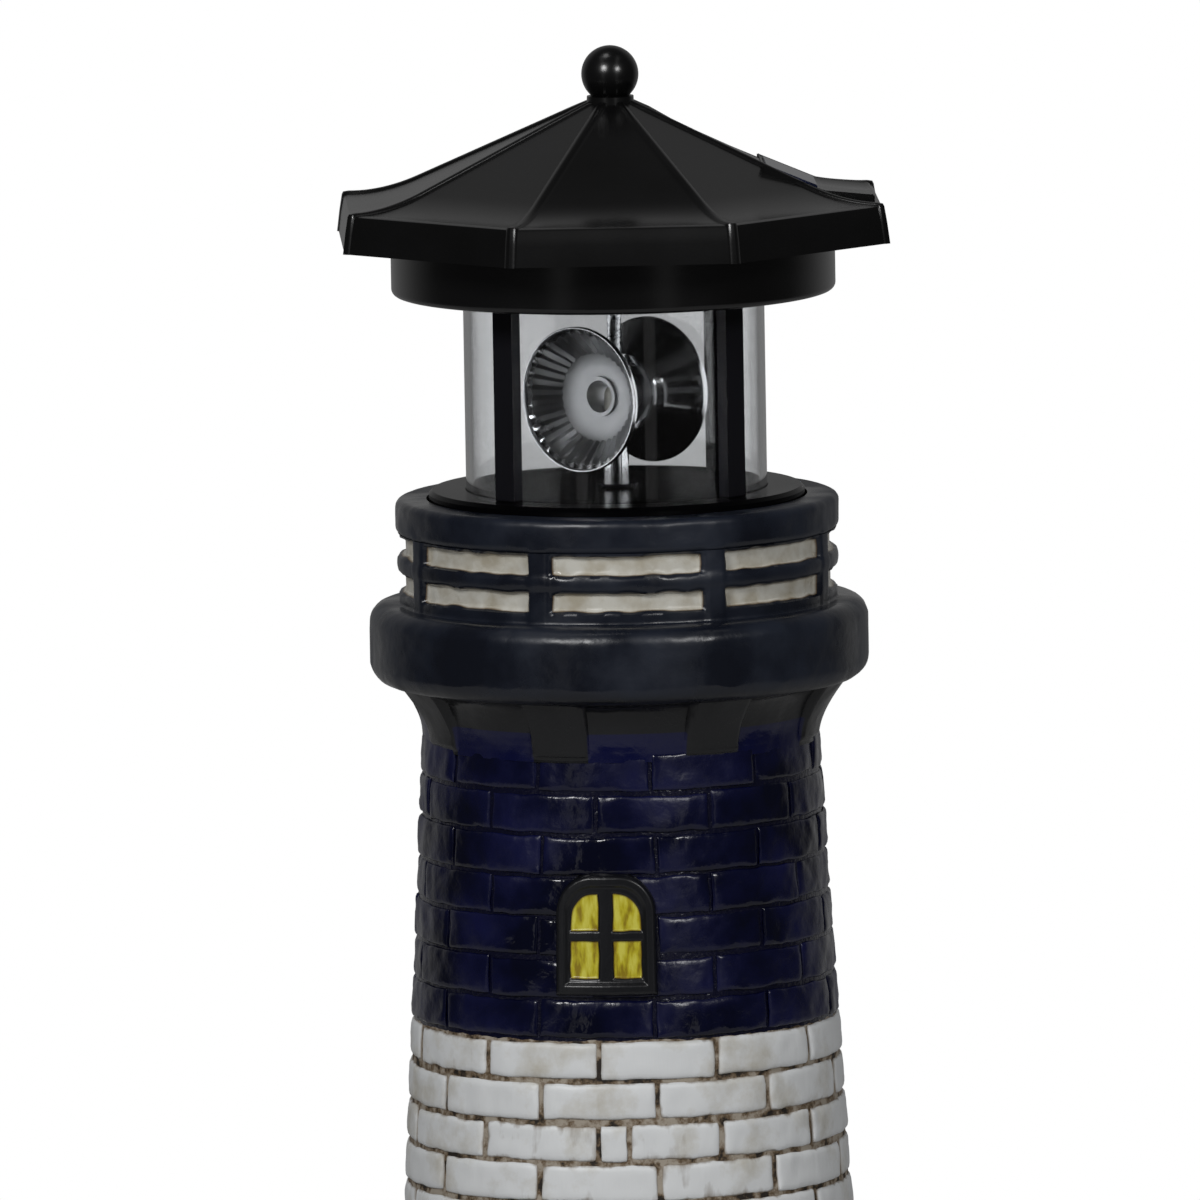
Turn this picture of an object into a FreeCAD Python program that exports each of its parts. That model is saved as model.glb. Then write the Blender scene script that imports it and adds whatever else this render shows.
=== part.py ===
import FreeCAD, Part
import math
import os
from types import SimpleNamespace

import Sketcher

# Garden lighthouse ornament, 355 mm tall: a hollow resin tower with a window, a balcony and a panelled
# parapet, and a solar lantern that drops into the well at the top of the tower. Two chromed bells turn
# inside the lantern's clear tube. Origin at the centre of the tower's foot, +Z up, window side towards -Y.

# ---------------------------------------------------------------------------------------------------
# Driving dimensions, in millimetres, degrees or plain counts
# ---------------------------------------------------------------------------------------------------
SIZES = {
    # tower casting, from the ground up
    "plinth_radius": 62.0,
    "plinth_step": 3.6,
    "plinth_tread_height": 10.0,
    "plinth_height": 30.4,
    "casting_wall": 5.0,
    "wall_foot_radius": 51.7,
    "wall_top_radius": 41.5,
    "bite": 1.0,
    "course_height": 8.6,
    "course_count": 21,
    "corbel_height": 12.4,
    "corbel_lip": 0.28,
    "dentil_angle": 16.5,
    "dentil_drop": 2.2,
    "dentil_thickness": 3.4,
    "balcony_overhang": 5.9,
    "balcony_height": 17.0,
    "balcony_edge_radius": 3.8,
    "parapet_wall": 6.5,
    "parapet_height": 22.0,
    "rim_height": 7.0,
    "rim_edge_radius": 2.4,
    "rail_height": 3.6,
    "panel_height": 4.4,
    "panel_depth": 2.0,
    "baluster_angle": 5.8,
    "bay_count": 8,
    "bay_turn": -20.5,
    "window_turn": -6.0,
    "window_width": 23.0,
    "window_height": 24.7,
    "window_sill": 159.7,
    "window_arch_radius": 8.5,
    "window_relief": 1.5,
    "window_frame": 3.6,
    "window_bar": 2.4,
    "pane_depth": 1.0,
    # fit between lantern and tower
    "well_radius": 40.0,
    "well_depth": 2.2,
    "flange_fit": 0.5,
    "cup_fit": 0.6,
    "seat_gap": 0.2,
    # lantern base
    "flange_thickness": 3.8,
    "flange_edge": 0.8,
    "cup_radius": 34.0,
    "cup_depth": 30.0,
    "cup_wall": 2.0,
    "cup_edge": 1.5,
    "post_turn": 43.0,
    "post_width": 5.3,
    "post_depth": 2.6,
    "post_count": 4,
    "peg_depth": 1.4,
    "tube_radius": 31.6,
    "tube_wall": 1.5,
    "tube_fit": 0.15,
    "tube_groove": 1.2,
    "tube_opening": 41.2,
    "gasket_thickness": 0.5,
    # canopy drum and roof
    "drum_setback": 14.9,
    "drum_wall": 2.0,
    "drum_edge_radius": 3.0,
    "drum_top_gap": 0.5,
    "roof_radius": 61.5,
    "roof_sides": 8,
    "roof_turn": 24.5,
    "roof_wall": 2.0,
    "fascia_height": 7.8,
    "fascia_flare": 1.2,
    "eave_height": 11.4,
    "roof_slope": 24.5,
    "slope_end_inset": 18.0,
    "flare_inset": 13.5,
    "flare_rise": 1.6,
    "eave_inset": 7.5,
    "eave_rise": 1.6,
    "lip_rise": 0.9,
    "crown_radius": 5.0,
    "rib_width": 2.6,
    "rib_height": 1.4,
    "finial_radius": 6.0,
    "finial_neck_radius": 4.8,
    "finial_neck_height": 1.35,
    "finial_peg_radius": 2.0,
    "finial_peg_length": 3.0,
    "tray_setback": 2.2,
    "tray_length": 23.6,
    "tray_flat_length": 10.6,
    "tray_relief": 1.1,
    "tray_flat_height": 3.6,
    "tray_margin": 3.4,
    "solar_width": 17.0,
    "solar_length": 10.5,
    "solar_thickness": 0.8,
    "boss_ring_gap": 5.25,
    "boss_radius": 2.6,
    "screw_radius": 1.2,
    "screw_head_radius": 2.2,
    "screw_head_height": 1.2,
    "screw_length": 14.0,
    "screw_fit": 0.12,
    # beacon
    "beacon_height": 19.5,
    "beacon_turn": 230.0,
    "bell_mouth_radius": 15.3,
    "bell_depth": 11.5,
    "bell_bowl_radius": 9.2,
    "bell_bowl_depth": 6.4,
    "bell_throat_depth": 3.8,
    "bell_wall": 0.9,
    "bell_rim": 0.7,
    "hub_radius": 3.6,
    "hub_height": 11.0,
    "hub_arm_radius": 4.2,
    "hub_arm_bore": 3.4,
    "hub_arm_reach": 5.2,
    "hub_bore": 2.75,
    "hub_roof": 1.5,
    "lamp_radius": 2.3,
    "lamp_height": 5.4,
    "sleeve_radius": 2.65,
    "sleeve_bore": 1.75,
    "sleeve_socket": 1.5,
    "stalk_radius": 1.4,
    "top_pin_radius": 1.5,
    "top_pin_gap": 0.5,
    "top_boss_radius": 4.6,
    "top_boss_drop": 2.6,
    "bearing_radius": 4.6,
    "bearing_rise": 1.0,
    "bearing_drop": 1.6,
    "running_fit": 0.06,
    "press_fit": 0.02,
    # gear train
    "gear_module": 0.5,
    "gear_teeth": 40,
    "pinion_teeth": 10,
    "gear_thickness": 3.0,
    "tooth_share": 0.4,
    "gear_lift": 1.4,
    "shaft_radius": 0.75,
    "shaft_engagement": 6.0,
    "shaft_hole": 2.0,
    "motor_radius": 8.0,
    "motor_height": 11.0,
    "bracket_thickness": 2.0,
    "bracket_width": 30.0,
    "bracket_length": 40.0,
    "bracket_offset": 8.0,
    "bracket_drop": 6.5,
    "bracket_boss_radius": 2.8,
    "bracket_boss_offset": 5.0,
    "bracket_boss_spread": 16.5,
    "washer_radius": 4.2,
    "washer_thickness": 0.5,
    "cup_boss_count": 3,
    "cup_boss_ring": 27.5,
    "cup_boss_radius": 2.8,
    "short_screw_length": 7.0,
    # battery, board, door and switch
    "cell_radius": 5.25,
    "cell_length": 44.0,
    "cell_offset": 12.0,
    "cell_lift": 0.5,
    "cell_nub_radius": 1.9,
    "cell_nub_length": 1.0,
    "contact_thickness": 0.5,
    "contact_width": 8.0,
    "contact_height": 8.0,
    "leaf_length": 2.6,
    "bulkhead_thickness": 1.2,
    "bulkhead_height": 8.5,
    "board_width": 22.0,
    "board_length": 34.0,
    "board_thickness": 1.6,
    "board_offset": 13.0,
    "board_lift": 13.0,
    "board_post_radius": 2.2,
    "board_post_inset": 2.0,
    "board_post_spread": 13.0,
    "door_width": 14.0,
    "door_fit": 0.3,
    "door_thickness": 1.8,
    "door_pin_radius": 0.5,
    "door_pin_reach": 1.2,
    "switch_x": 17.0,
    "switch_y": -9.0,
    "switch_length": 9.0,
    "switch_width": 4.4,
    "switch_height": 4.0,
    "switch_travel": 2.5,
    "knob_length": 2.4,
    "knob_width": 1.8,
    "knob_reach": 1.2,
    "knob_entry": 1.8,
    "knob_fit": 0.2,
}

doc = FreeCAD.newDocument("garden_lighthouse")
sheet = doc.addObject("Spreadsheet::Sheet", "Sizes")
for row, (alias, number) in enumerate(SIZES.items(), start=1):
    sheet.set(f"A{row}", alias)
    sheet.set(f"B{row}", str(number))
    sheet.setAlias(f"B{row}", alias)
doc.recompute()


class Size:
    """A dimension as the sheet's own formula, with its present value for a sketch's first drawing."""

    def __init__(self, text, value):
        self.text = text
        self.value = value

    def __add__(self, other):
        other = size(other)
        return Size(f"({self.text} + {other.text})", self.value + other.value)

    def __sub__(self, other):
        other = size(other)
        return Size(f"({self.text} - {other.text})", self.value - other.value)

    def __mul__(self, other):
        other = size(other)
        return Size(f"({self.text} * {other.text})", self.value * other.value)

    def __truediv__(self, other):
        other = size(other)
        return Size(f"({self.text} / {other.text})", self.value / other.value)

    def __neg__(self):
        return Size(f"(0 - {self.text})", -self.value)

    def __radd__(self, other):
        return size(other) + self

    def __rsub__(self, other):
        return size(other) - self

    def __rmul__(self, other):
        return size(other) * self

    def __rtruediv__(self, other):
        return size(other) / self


def size(number):
    return number if isinstance(number, Size) else Size(repr(float(number)), float(number))


def sine(angle):
    angle = size(angle)
    return Size(f"sin({angle.text})", math.sin(math.radians(angle.value)))


def cosine(angle):
    angle = size(angle)
    return Size(f"cos({angle.text})", math.cos(math.radians(angle.value)))


def tangent(angle):
    return sine(angle) / cosine(angle)


def root(number):
    return Size(f"sqrt({number.text})", math.sqrt(number.value))


def count(alias):
    return int(round(SIZES[alias]))


d = SimpleNamespace(**{alias: Size(f"Sizes.{alias}", float(number)) for alias, number in SIZES.items()})
nodes = []


def new_body(label):
    body = doc.addObject("PartDesign::Body", label)
    body.Label = label
    nodes.append(body)
    return body


def plane(body, role):
    return next(feature for feature in body.Origin.OriginFeatures if feature.Role == role)


def new_sketch(body, role, lift=0, turn=0):
    """A sketch on one of the body's own planes: XY_Plane lies flat, lifted by lift; XZ_Plane stands up,
    turned about the upright axis by turn and moved out of that axis by lift."""
    sketch = body.newObject("Sketcher::SketchObject", f"{body.Name}_sketch")
    sketch.AttachmentSupport = [(plane(body, role), "")]
    sketch.MapMode = "FlatFace"
    lift, turn = size(lift), size(turn)
    axis = FreeCAD.Vector(0, 1, 0) if role == "XZ_Plane" else FreeCAD.Vector(0, 0, 1)
    sketch.AttachmentOffset = FreeCAD.Placement(FreeCAD.Vector(), FreeCAD.Rotation(axis, turn.value))
    sketch.setExpression("AttachmentOffset.Rotation.Angle", turn.text)
    if role == "XZ_Plane":
        sketch.setExpression("AttachmentOffset.Base.x", (lift * sine(turn)).text)
        sketch.setExpression("AttachmentOffset.Base.z", (lift * cosine(turn)).text)
    else:
        sketch.setExpression("AttachmentOffset.Base.z", lift.text)
    return sketch


def hold(sketch, kind, *where, at):
    """Adds a dimension to a sketch and ties it to the sheet."""
    index = sketch.addConstraint(Sketcher.Constraint(kind, *where, at.value))
    sketch.setExpression(f"Constraints[{index}]", at.text)


def arc_of(start, end, radius, side):
    """The shorter arc from start to end; side is +1 where its centre lies to the left of the run."""
    chord = end - start
    middle = (start + end) * 0.5
    left = FreeCAD.Vector(-chord.y, chord.x, 0).normalize()
    reach = math.sqrt(max(radius**2 - (chord.Length / 2) ** 2, 0.0))
    centre = middle + left * (side * reach)
    first, last = (start, end) if side > 0 else (end, start)
    from_angle = math.atan2(first.y - centre.y, first.x - centre.x)
    to_angle = math.atan2(last.y - centre.y, last.x - centre.x)
    if to_angle < from_angle:
        to_angle += 2 * math.pi
    return Part.ArcOfCircle(Part.Circle(centre, FreeCAD.Vector(0, 0, 1), radius), from_angle, to_angle)


def outline(sketch, points):
    """A closed outline. A point is (x, y), or (x, y, radius, side) where an arc leads to it."""
    spots = [tuple(size(value) for value in point[:2]) for point in points]
    places = [FreeCAD.Vector(x.value, y.value, 0) for x, y in spots]
    ends = []
    for index, point in enumerate(points):
        start, end = places[index - 1], places[index]
        if len(point) == 4:
            bend, side = size(point[2]), point[3]
            edge = sketch.addGeometry(arc_of(start, end, bend.value, side), False)
            hold(sketch, "Radius", edge, at=bend)
            ends.append((edge, 1, 2) if side > 0 else (edge, 2, 1))
        else:
            edge = sketch.addGeometry(Part.LineSegment(start, end), False)
            ends.append((edge, 1, 2))
    for index, (x, y) in enumerate(spots):
        edge, _, finish = ends[index]
        following, begin, _ = ends[(index + 1) % len(ends)]
        sketch.addConstraint(Sketcher.Constraint("Coincident", edge, finish, following, begin))
        hold(sketch, "DistanceX", -1, 1, edge, finish, at=x)
        hold(sketch, "DistanceY", -1, 1, edge, finish, at=y)


def circle(sketch, x, y, radius):
    x, y, radius = size(x), size(y), size(radius)
    centre = FreeCAD.Vector(x.value, y.value, 0)
    edge = sketch.addGeometry(Part.Circle(centre, FreeCAD.Vector(0, 0, 1), radius.value), False)
    hold(sketch, "Radius", edge, at=radius)
    hold(sketch, "DistanceX", -1, 1, edge, 3, at=x)
    hold(sketch, "DistanceY", -1, 1, edge, 3, at=y)


def box_outline(sketch, x, y, width, height):
    """A rectangle about its middle."""
    x, y, width, height = size(x), size(y), size(width), size(height)
    left, right = x - width / 2, x + width / 2
    low, high = y - height / 2, y + height / 2
    outline(sketch, [(left, low), (right, low), (right, high), (left, high)])


def extrude(body, kind, sketch, length, reverse=False, both=False):
    feature = body.newObject(f"PartDesign::{kind}", f"{body.Name}_{kind.lower()}")
    feature.Profile = sketch
    feature.setExpression("Length", size(length).text)
    feature.Reversed = reverse
    if both:
        feature.SideType = "Symmetric"
    return feature


def spin(body, kind, sketch, angle=360, axis="V_Axis"):
    """A Revolution or Groove about a sketch axis, centred on the sketch where it is a part turn."""
    feature = body.newObject(f"PartDesign::{kind}", f"{body.Name}_{kind.lower()}")
    feature.Profile = sketch
    feature.ReferenceAxis = (sketch, [axis])
    angle = size(angle)
    feature.Midplane = angle.value < 360
    feature.setExpression("Angle", angle.text)
    return feature


def around(body, features, copies, axis="Z_Axis"):
    pattern = body.newObject("PartDesign::PolarPattern", f"{body.Name}_pattern")
    pattern.Originals = features
    pattern.Axis = (plane(body, axis), [""])
    pattern.Angle = 360
    pattern.Occurrences = copies
    body.Tip = pattern
    return pattern


def turned_body(label, points):
    """A piece turned about the upright axis from one outline of (radius, height) points."""
    body = new_body(label)
    sketch = new_sketch(body, "XZ_Plane")
    outline(sketch, points)
    spin(body, "Revolution", sketch)
    return body


def disc(body, kind, low, thickness, *circles):
    """Pads circles (x, y, radius) upwards from the height low, or pockets them downwards from it."""
    sketch = new_sketch(body, "XY_Plane", low)
    for x, y, radius in circles:
        circle(sketch, x, y, radius)
    return extrude(body, kind, sketch, thickness)


# ---------------------------------------------------------------------------------------------------
# Heights and places that several pieces share
# ---------------------------------------------------------------------------------------------------
wall_height = d.course_height * d.course_count
wall_top = d.plinth_height + wall_height
wall_slope = (d.wall_foot_radius - d.wall_top_radius) / wall_height
parapet_radius = d.well_radius + d.parapet_wall
balcony_radius = parapet_radius + d.balcony_overhang
corbel_radius = balcony_radius - d.balcony_edge_radius - d.corbel_lip
corbel_low = wall_top - d.dentil_drop
balcony_low = corbel_low + d.corbel_height
balcony_top = balcony_low + d.balcony_height
rim_top = balcony_top + d.parapet_height
rim_low = rim_top - d.rim_height
ledge = rim_top - d.well_depth
deck_low = ledge + d.seat_gap
deck_top = deck_low + d.flange_thickness
drum_low = deck_top + d.tube_opening
drum_floor = drum_low + d.drum_wall
roof_low = drum_low + d.eave_height
eave_top = roof_low + d.fascia_height
drum_radius = d.roof_radius - d.drum_setback
slope_end = eave_top + d.lip_rise + d.eave_rise + d.flare_rise
slope_end_radius = d.roof_radius - d.slope_end_inset
crown_top = slope_end + (slope_end_radius - d.crown_radius) * tangent(d.roof_slope)
beacon_axis = deck_top + d.beacon_height
cup_low = deck_low - d.cup_depth
floor_top = cup_low + d.cup_wall
bore_radius = d.cup_radius + d.cup_fit
bracket_top = deck_low - d.bracket_drop
bracket_low = bracket_top - d.bracket_thickness
gear_low = bracket_top + d.gear_lift
gear_distance = (d.gear_teeth + d.pinion_teeth) * d.gear_module / 2
bay_length = d.cell_length + d.contact_thickness * 2 + d.leaf_length
bay_end = bay_length / 2
cell_axis = floor_top + d.cell_lift + d.cell_radius
board_low = floor_top + d.board_lift
apothem = cosine(180 / d.roof_sides)


def wall_radius(height):
    """Radius of the tapered wall's face at a height."""
    return d.wall_foot_radius - (height - d.plinth_height) * wall_slope


# ---------------------------------------------------------------------------------------------------
# Tower: one hollow resin casting
# ---------------------------------------------------------------------------------------------------
def tower_outline():
    """Section of the casting: plinth treads, tapered wall, corbel, balcony and panelled parapet, then
    the lamp well and the hollow inside."""
    tread = d.plinth_tread_height
    second = d.plinth_radius - d.plinth_step
    third = second - d.plinth_step
    soft = d.plinth_step / 3
    edge = d.balcony_edge_radius
    rail = parapet_radius - d.panel_depth / 4
    recess = parapet_radius - d.panel_depth
    second_row = rim_low - d.panel_height
    first_row = second_row - d.rail_height - d.panel_height
    round_rim = d.rim_edge_radius
    shoulder = corbel_low - d.casting_wall
    return [
        (wall_radius(size(0)) - d.casting_wall, 0),
        (d.plinth_radius, 0),
        (d.plinth_radius, tread - soft),
        (d.plinth_radius - soft, tread, soft, 1),
        (second, tread),
        (second, 2 * tread - soft),
        (second - soft, 2 * tread, soft, 1),
        (third, 2 * tread),
        (third, d.plinth_height - soft),
        (third - soft, d.plinth_height, soft, 1),
        (d.wall_foot_radius, d.plinth_height),
        (wall_radius(corbel_low), corbel_low),
        (corbel_radius, balcony_low, d.corbel_height * 1.5, -1),
        (balcony_radius - edge, balcony_low),
        (balcony_radius, balcony_low + edge, edge, 1),
        (balcony_radius, balcony_top - edge),
        (balcony_radius - edge, balcony_top, edge, 1),
        (rail, balcony_top),
        (rail, first_row),
        (recess, first_row),
        (recess, first_row + d.panel_height),
        (rail, first_row + d.panel_height),
        (rail, second_row),
        (recess, second_row),
        (recess, rim_low),
        (parapet_radius, rim_low),
        (parapet_radius, rim_top - round_rim),
        (parapet_radius - round_rim, rim_top, round_rim, 1),
        (d.well_radius, rim_top),
        (d.well_radius, ledge),
        (bore_radius, ledge),
        (bore_radius, shoulder + d.casting_wall / 2),
        (wall_radius(shoulder) - d.casting_wall, shoulder),
    ]


tower = turned_body("tower_casting", tower_outline())

# Balusters between the parapet's panels, and dentil blocks that hang from the corbel under them
balusters = new_sketch(tower, "XZ_Plane", turn=d.bay_turn - 90)
baluster_face = parapet_radius - d.panel_depth / 3
outline(
    balusters,
    [
        (d.well_radius + d.bite, balcony_top - d.bite),
        (baluster_face, balcony_top - d.bite),
        (baluster_face, rim_low + d.bite),
        (d.well_radius + d.bite, rim_low + d.bite),
    ],
)
baluster = spin(tower, "Revolution", balusters, d.baluster_angle)
around(tower, [baluster], count("bay_count"))

dentils = new_sketch(tower, "XZ_Plane", turn=d.bay_turn - 90)
outline(
    dentils,
    [
        (bore_radius + d.bite, wall_top),
        (wall_radius(wall_top) + d.dentil_thickness, wall_top),
        (corbel_radius + d.bite, balcony_low + d.bite),
        (bore_radius + d.bite, balcony_low + d.bite),
    ],
)
dentil = spin(tower, "Revolution", dentils, d.dentil_angle)
around(tower, [dentil], count("bay_count"))


def arched(sketch, left, right, low, high, bend_left, bend_right):
    """An upright opening whose top corners are rounded by bend_left and bend_right, where given."""
    points = [(left, low), (right, low)]
    if bend_right is None:
        points.append((right, high))
    else:
        points += [(right, high - bend_right), (right - bend_right, high, bend_right, 1)]
    if bend_left is None:
        points.append((left, high))
    else:
        points += [(left + bend_left, high), (left, high - bend_left, bend_left, 1)]
    outline(sketch, points)


# Window: an arched frame with a cross of glazing bars, cast proud of the wall and curved with it
window_middle = d.window_sill + d.window_height / 2
window_face = wall_radius(window_middle) + d.window_relief
window_top = d.window_sill + d.window_height
half_window = d.window_width / 2
frame_root = wall_radius(window_top) - d.window_arch_radius / 2
frame_sketch = new_sketch(tower, "XZ_Plane", lift=frame_root, turn=d.window_turn)
arched(
    frame_sketch,
    -half_window,
    half_window,
    d.window_sill,
    window_top,
    d.window_arch_radius,
    d.window_arch_radius,
)
extrude(tower, "Pad", frame_sketch, window_face + d.bite - frame_root)
cut_low = d.window_sill - d.bite
cut_high = window_top + d.bite
face_cut = new_sketch(tower, "XZ_Plane", turn=d.window_turn - 90)
outline(
    face_cut,
    [
        (wall_radius(cut_low) + d.window_relief, cut_low),
        (window_face + half_window, cut_low),
        (window_face + half_window, cut_high),
        (wall_radius(cut_high) + d.window_relief, cut_high),
    ],
)
spin(tower, "Groove", face_cut, d.window_width * 2.6)
panes = new_sketch(tower, "XZ_Plane", lift=window_face + d.bite, turn=d.window_turn)
pane_side = half_window - d.window_frame
pane_low = d.window_sill + d.window_frame
pane_high = window_top - d.window_frame
bar_low = window_middle - d.window_bar / 2
bar_high = window_middle + d.window_bar / 2
bar_side = d.window_bar / 2
pane_bend = d.window_arch_radius - d.window_frame
arched(panes, -pane_side, -bar_side, pane_low, bar_low, None, None)
arched(panes, bar_side, pane_side, pane_low, bar_low, None, None)
arched(panes, -pane_side, -bar_side, bar_high, pane_high, pane_bend, None)
arched(panes, bar_side, pane_side, bar_high, pane_high, None, pane_bend)
extrude(tower, "Pocket", panes, d.window_relief + d.bite + d.pane_depth)

# ---------------------------------------------------------------------------------------------------
# Lantern base: flange, deck and posts in one moulding, with the cup that drops into the lamp well
# ---------------------------------------------------------------------------------------------------
flange_radius = d.well_radius - d.flange_fit
tube_inside = d.tube_radius - d.tube_wall
groove_inside = tube_inside - d.tube_fit
groove_outside = d.tube_radius + d.tube_fit
bearing_bore = d.sleeve_radius + d.running_fit
frame = turned_body(
    "lantern_frame",
    [
        (bearing_bore, deck_low - d.bearing_drop),
        (d.bearing_radius, deck_low - d.bearing_drop),
        (d.bearing_radius, deck_low),
        (flange_radius, deck_low),
        (flange_radius, deck_top - d.flange_edge),
        (flange_radius - d.flange_edge, deck_top),
        (groove_outside, deck_top),
        (groove_outside, deck_top - d.tube_groove),
        (groove_inside, deck_top - d.tube_groove),
        (groove_inside, deck_top),
        (d.bearing_radius, deck_top),
        (d.bearing_radius, deck_top + d.bearing_rise),
        (bearing_bore, deck_top + d.bearing_rise),
    ],
)
post_sketch = new_sketch(frame, "XY_Plane", deck_top - d.bite, turn=-90 - d.post_turn)
post_middle = groove_outside + d.post_depth / 2
box_outline(post_sketch, post_middle, 0, d.post_depth, d.post_width)
post = extrude(frame, "Pad", post_sketch, d.tube_opening + d.bite + d.peg_depth)
around(frame, [post], count("post_count"))
bracket_holes = [
    (d.bracket_boss_offset, d.bracket_boss_spread * side, d.bracket_boss_radius) for side in (-1, 1)
]
disc(frame, "Pad", bracket_top, d.bracket_drop + d.bite, *bracket_holes)
boss_angle = 360 / d.cup_boss_count
cup_holes = [
    (
        d.cup_boss_ring * cosine(boss_angle * (turn + 0.5)),
        d.cup_boss_ring * sine(boss_angle * (turn + 0.5)),
    )
    for turn in range(count("cup_boss_count"))
]
cup_bosses = [(x, y, d.cup_boss_radius) for x, y in cup_holes]
disc(frame, "Pad", floor_top, deck_low - floor_top + d.bite, *cup_bosses)
pilot = d.screw_radius + d.press_fit
short = d.short_screw_length
disc(frame, "Pocket", bracket_top + short, short, *[(x, y, pilot) for x, y, _ in bracket_holes])
disc(frame, "Pocket", floor_top + short, short, *[(x, y, pilot) for x, y in cup_holes])

turned_body(
    "tube_gasket",
    [
        (tube_inside, deck_top - d.tube_groove),
        (d.tube_radius, deck_top - d.tube_groove),
        (d.tube_radius, deck_top - d.tube_groove + d.gasket_thickness),
        (tube_inside, deck_top - d.tube_groove + d.gasket_thickness),
    ],
)
tube_low = deck_top - d.tube_groove + d.gasket_thickness
tube_high = drum_low + d.tube_groove - d.tube_fit
turned_body(
    "clear_tube",
    [
        (tube_inside, tube_low),
        (d.tube_radius, tube_low),
        (d.tube_radius, tube_high),
        (tube_inside, tube_high),
    ],
)

# Cup under the deck, with the battery opening, the board's posts and the switch slot in its floor
cup = turned_body(
    "base_cup",
    [
        (0, cup_low),
        (d.cup_radius - d.cup_edge, cup_low),
        (d.cup_radius, cup_low + d.cup_edge),
        (d.cup_radius, deck_low),
        (d.cup_radius - d.cup_wall, deck_low),
        (d.cup_radius - d.cup_wall, floor_top),
        (0, floor_top),
    ],
)
board_middle = -d.board_offset
post_x = d.board_width / 2 - d.board_post_inset
board_posts = [
    (board_middle + post_x * side, d.board_post_spread * end) for side in (-1, 1) for end in (-1, 1)
]
post_circles = [(x, y, d.board_post_radius) for x, y in board_posts]
disc(cup, "Pad", floor_top - d.bite, d.board_lift + d.bite, *post_circles)
screwed_posts = board_posts[:2]
disc(cup, "Pocket", board_low, short, *[(x, y, pilot) for x, y in screwed_posts])
bulkheads = new_sketch(cup, "XY_Plane", floor_top - d.bite)
for end in (-1, 1):
    bulkhead_middle = (bay_end + d.bulkhead_thickness / 2) * end
    box_outline(bulkheads, -d.cell_offset, bulkhead_middle, d.cell_radius * 2, d.bulkhead_thickness)
extrude(cup, "Pad", bulkheads, d.bulkhead_height + d.bite)
door_opening = new_sketch(cup, "XY_Plane", floor_top)
opening_width = d.door_width + d.door_fit * 2
opening_length = bay_length - d.door_fit
box_outline(door_opening, -d.cell_offset, 0, opening_width, opening_length)
extrude(cup, "Pocket", door_opening, d.cup_wall)
door_barrel = d.door_thickness / 2
door_pivot = (door_barrel - d.cell_offset - d.door_width / 2, cup_low + door_barrel)
pin_length = opening_length + d.door_pin_reach * 2
pin_holes = new_sketch(cup, "XZ_Plane", lift=-pin_length / 2 - d.door_fit)
circle(pin_holes, *door_pivot, d.door_pin_radius + d.running_fit)
extrude(cup, "Pocket", pin_holes, pin_length + d.door_fit * 2, reverse=True)
knob_slot_length = d.knob_length + d.switch_travel + d.knob_fit * 2
knob_slot_width = d.knob_width + d.knob_fit * 2
switch_slot = new_sketch(cup, "XY_Plane", floor_top)
box_outline(switch_slot, d.switch_x, d.switch_y, knob_slot_length, knob_slot_width)
extrude(cup, "Pocket", switch_slot, d.cup_wall)
head_room = d.screw_head_radius + d.screw_fit
screw_clear = d.screw_radius + d.screw_fit
head_height = d.screw_head_height
disc(cup, "Pocket", floor_top, d.cup_wall, *[(x, y, screw_clear) for x, y in cup_holes])
disc(cup, "Pocket", cup_low + head_height, head_height, *[(x, y, head_room) for x, y in cup_holes])


def screws(label, head_low, length, places, head_above=False):
    """A group of pan-head screws that point up, or down where the head lies above."""
    body = new_body(label)
    body.AllowCompound = True
    heads = [(x, y, d.screw_head_radius) for x, y in places]
    shanks = [(x, y, d.screw_radius) for x, y in places]
    disc(body, "Pad", head_low, d.screw_head_height, *heads)
    shank_low = head_low - length if head_above else head_low + d.screw_head_height / 2
    disc(body, "Pad", shank_low, length + d.screw_head_height / 2, *shanks)
    return body


screws("cup_screws", cup_low, short, cup_holes)

# ---------------------------------------------------------------------------------------------------
# Motor, bracket and gear train under the deck
# ---------------------------------------------------------------------------------------------------
bracket = new_body("motor_bracket")
bracket_sketch = new_sketch(bracket, "XY_Plane", bracket_low)
box_outline(bracket_sketch, d.bracket_offset, 0, d.bracket_width, d.bracket_length)
extrude(bracket, "Pad", bracket_sketch, d.bracket_thickness)
disc(
    bracket,
    "Pocket",
    bracket_top,
    d.bracket_thickness,
    (0, 0, d.stalk_radius + d.press_fit),
    (gear_distance, 0, d.shaft_hole),
    *[(x, y, screw_clear) for x, y, _ in bracket_holes],
)
screws(
    "bracket_screws",
    bracket_low - d.screw_head_height,
    short,
    [(x, y) for x, y, _ in bracket_holes],
)

motor = new_body("gear_motor")
disc(motor, "Pad", bracket_low - d.motor_height, d.motor_height, (gear_distance, 0, d.motor_radius))
shaft_bore = d.shaft_radius + d.running_fit
disc(motor, "Pocket", bracket_low, d.shaft_engagement, (gear_distance, 0, shaft_bore))

shaft = new_body("motor_shaft")
shaft_low = bracket_low - d.shaft_engagement + d.running_fit
disc(shaft, "Pad", shaft_low, gear_low + d.gear_thickness - shaft_low, (gear_distance, 0, d.shaft_radius))

turned_body(
    "thrust_washer",
    [
        (d.sleeve_bore, bracket_top),
        (d.washer_radius, bracket_top),
        (d.washer_radius, bracket_top + d.washer_thickness),
        (d.sleeve_bore, bracket_top + d.washer_thickness),
    ],
)


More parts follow.
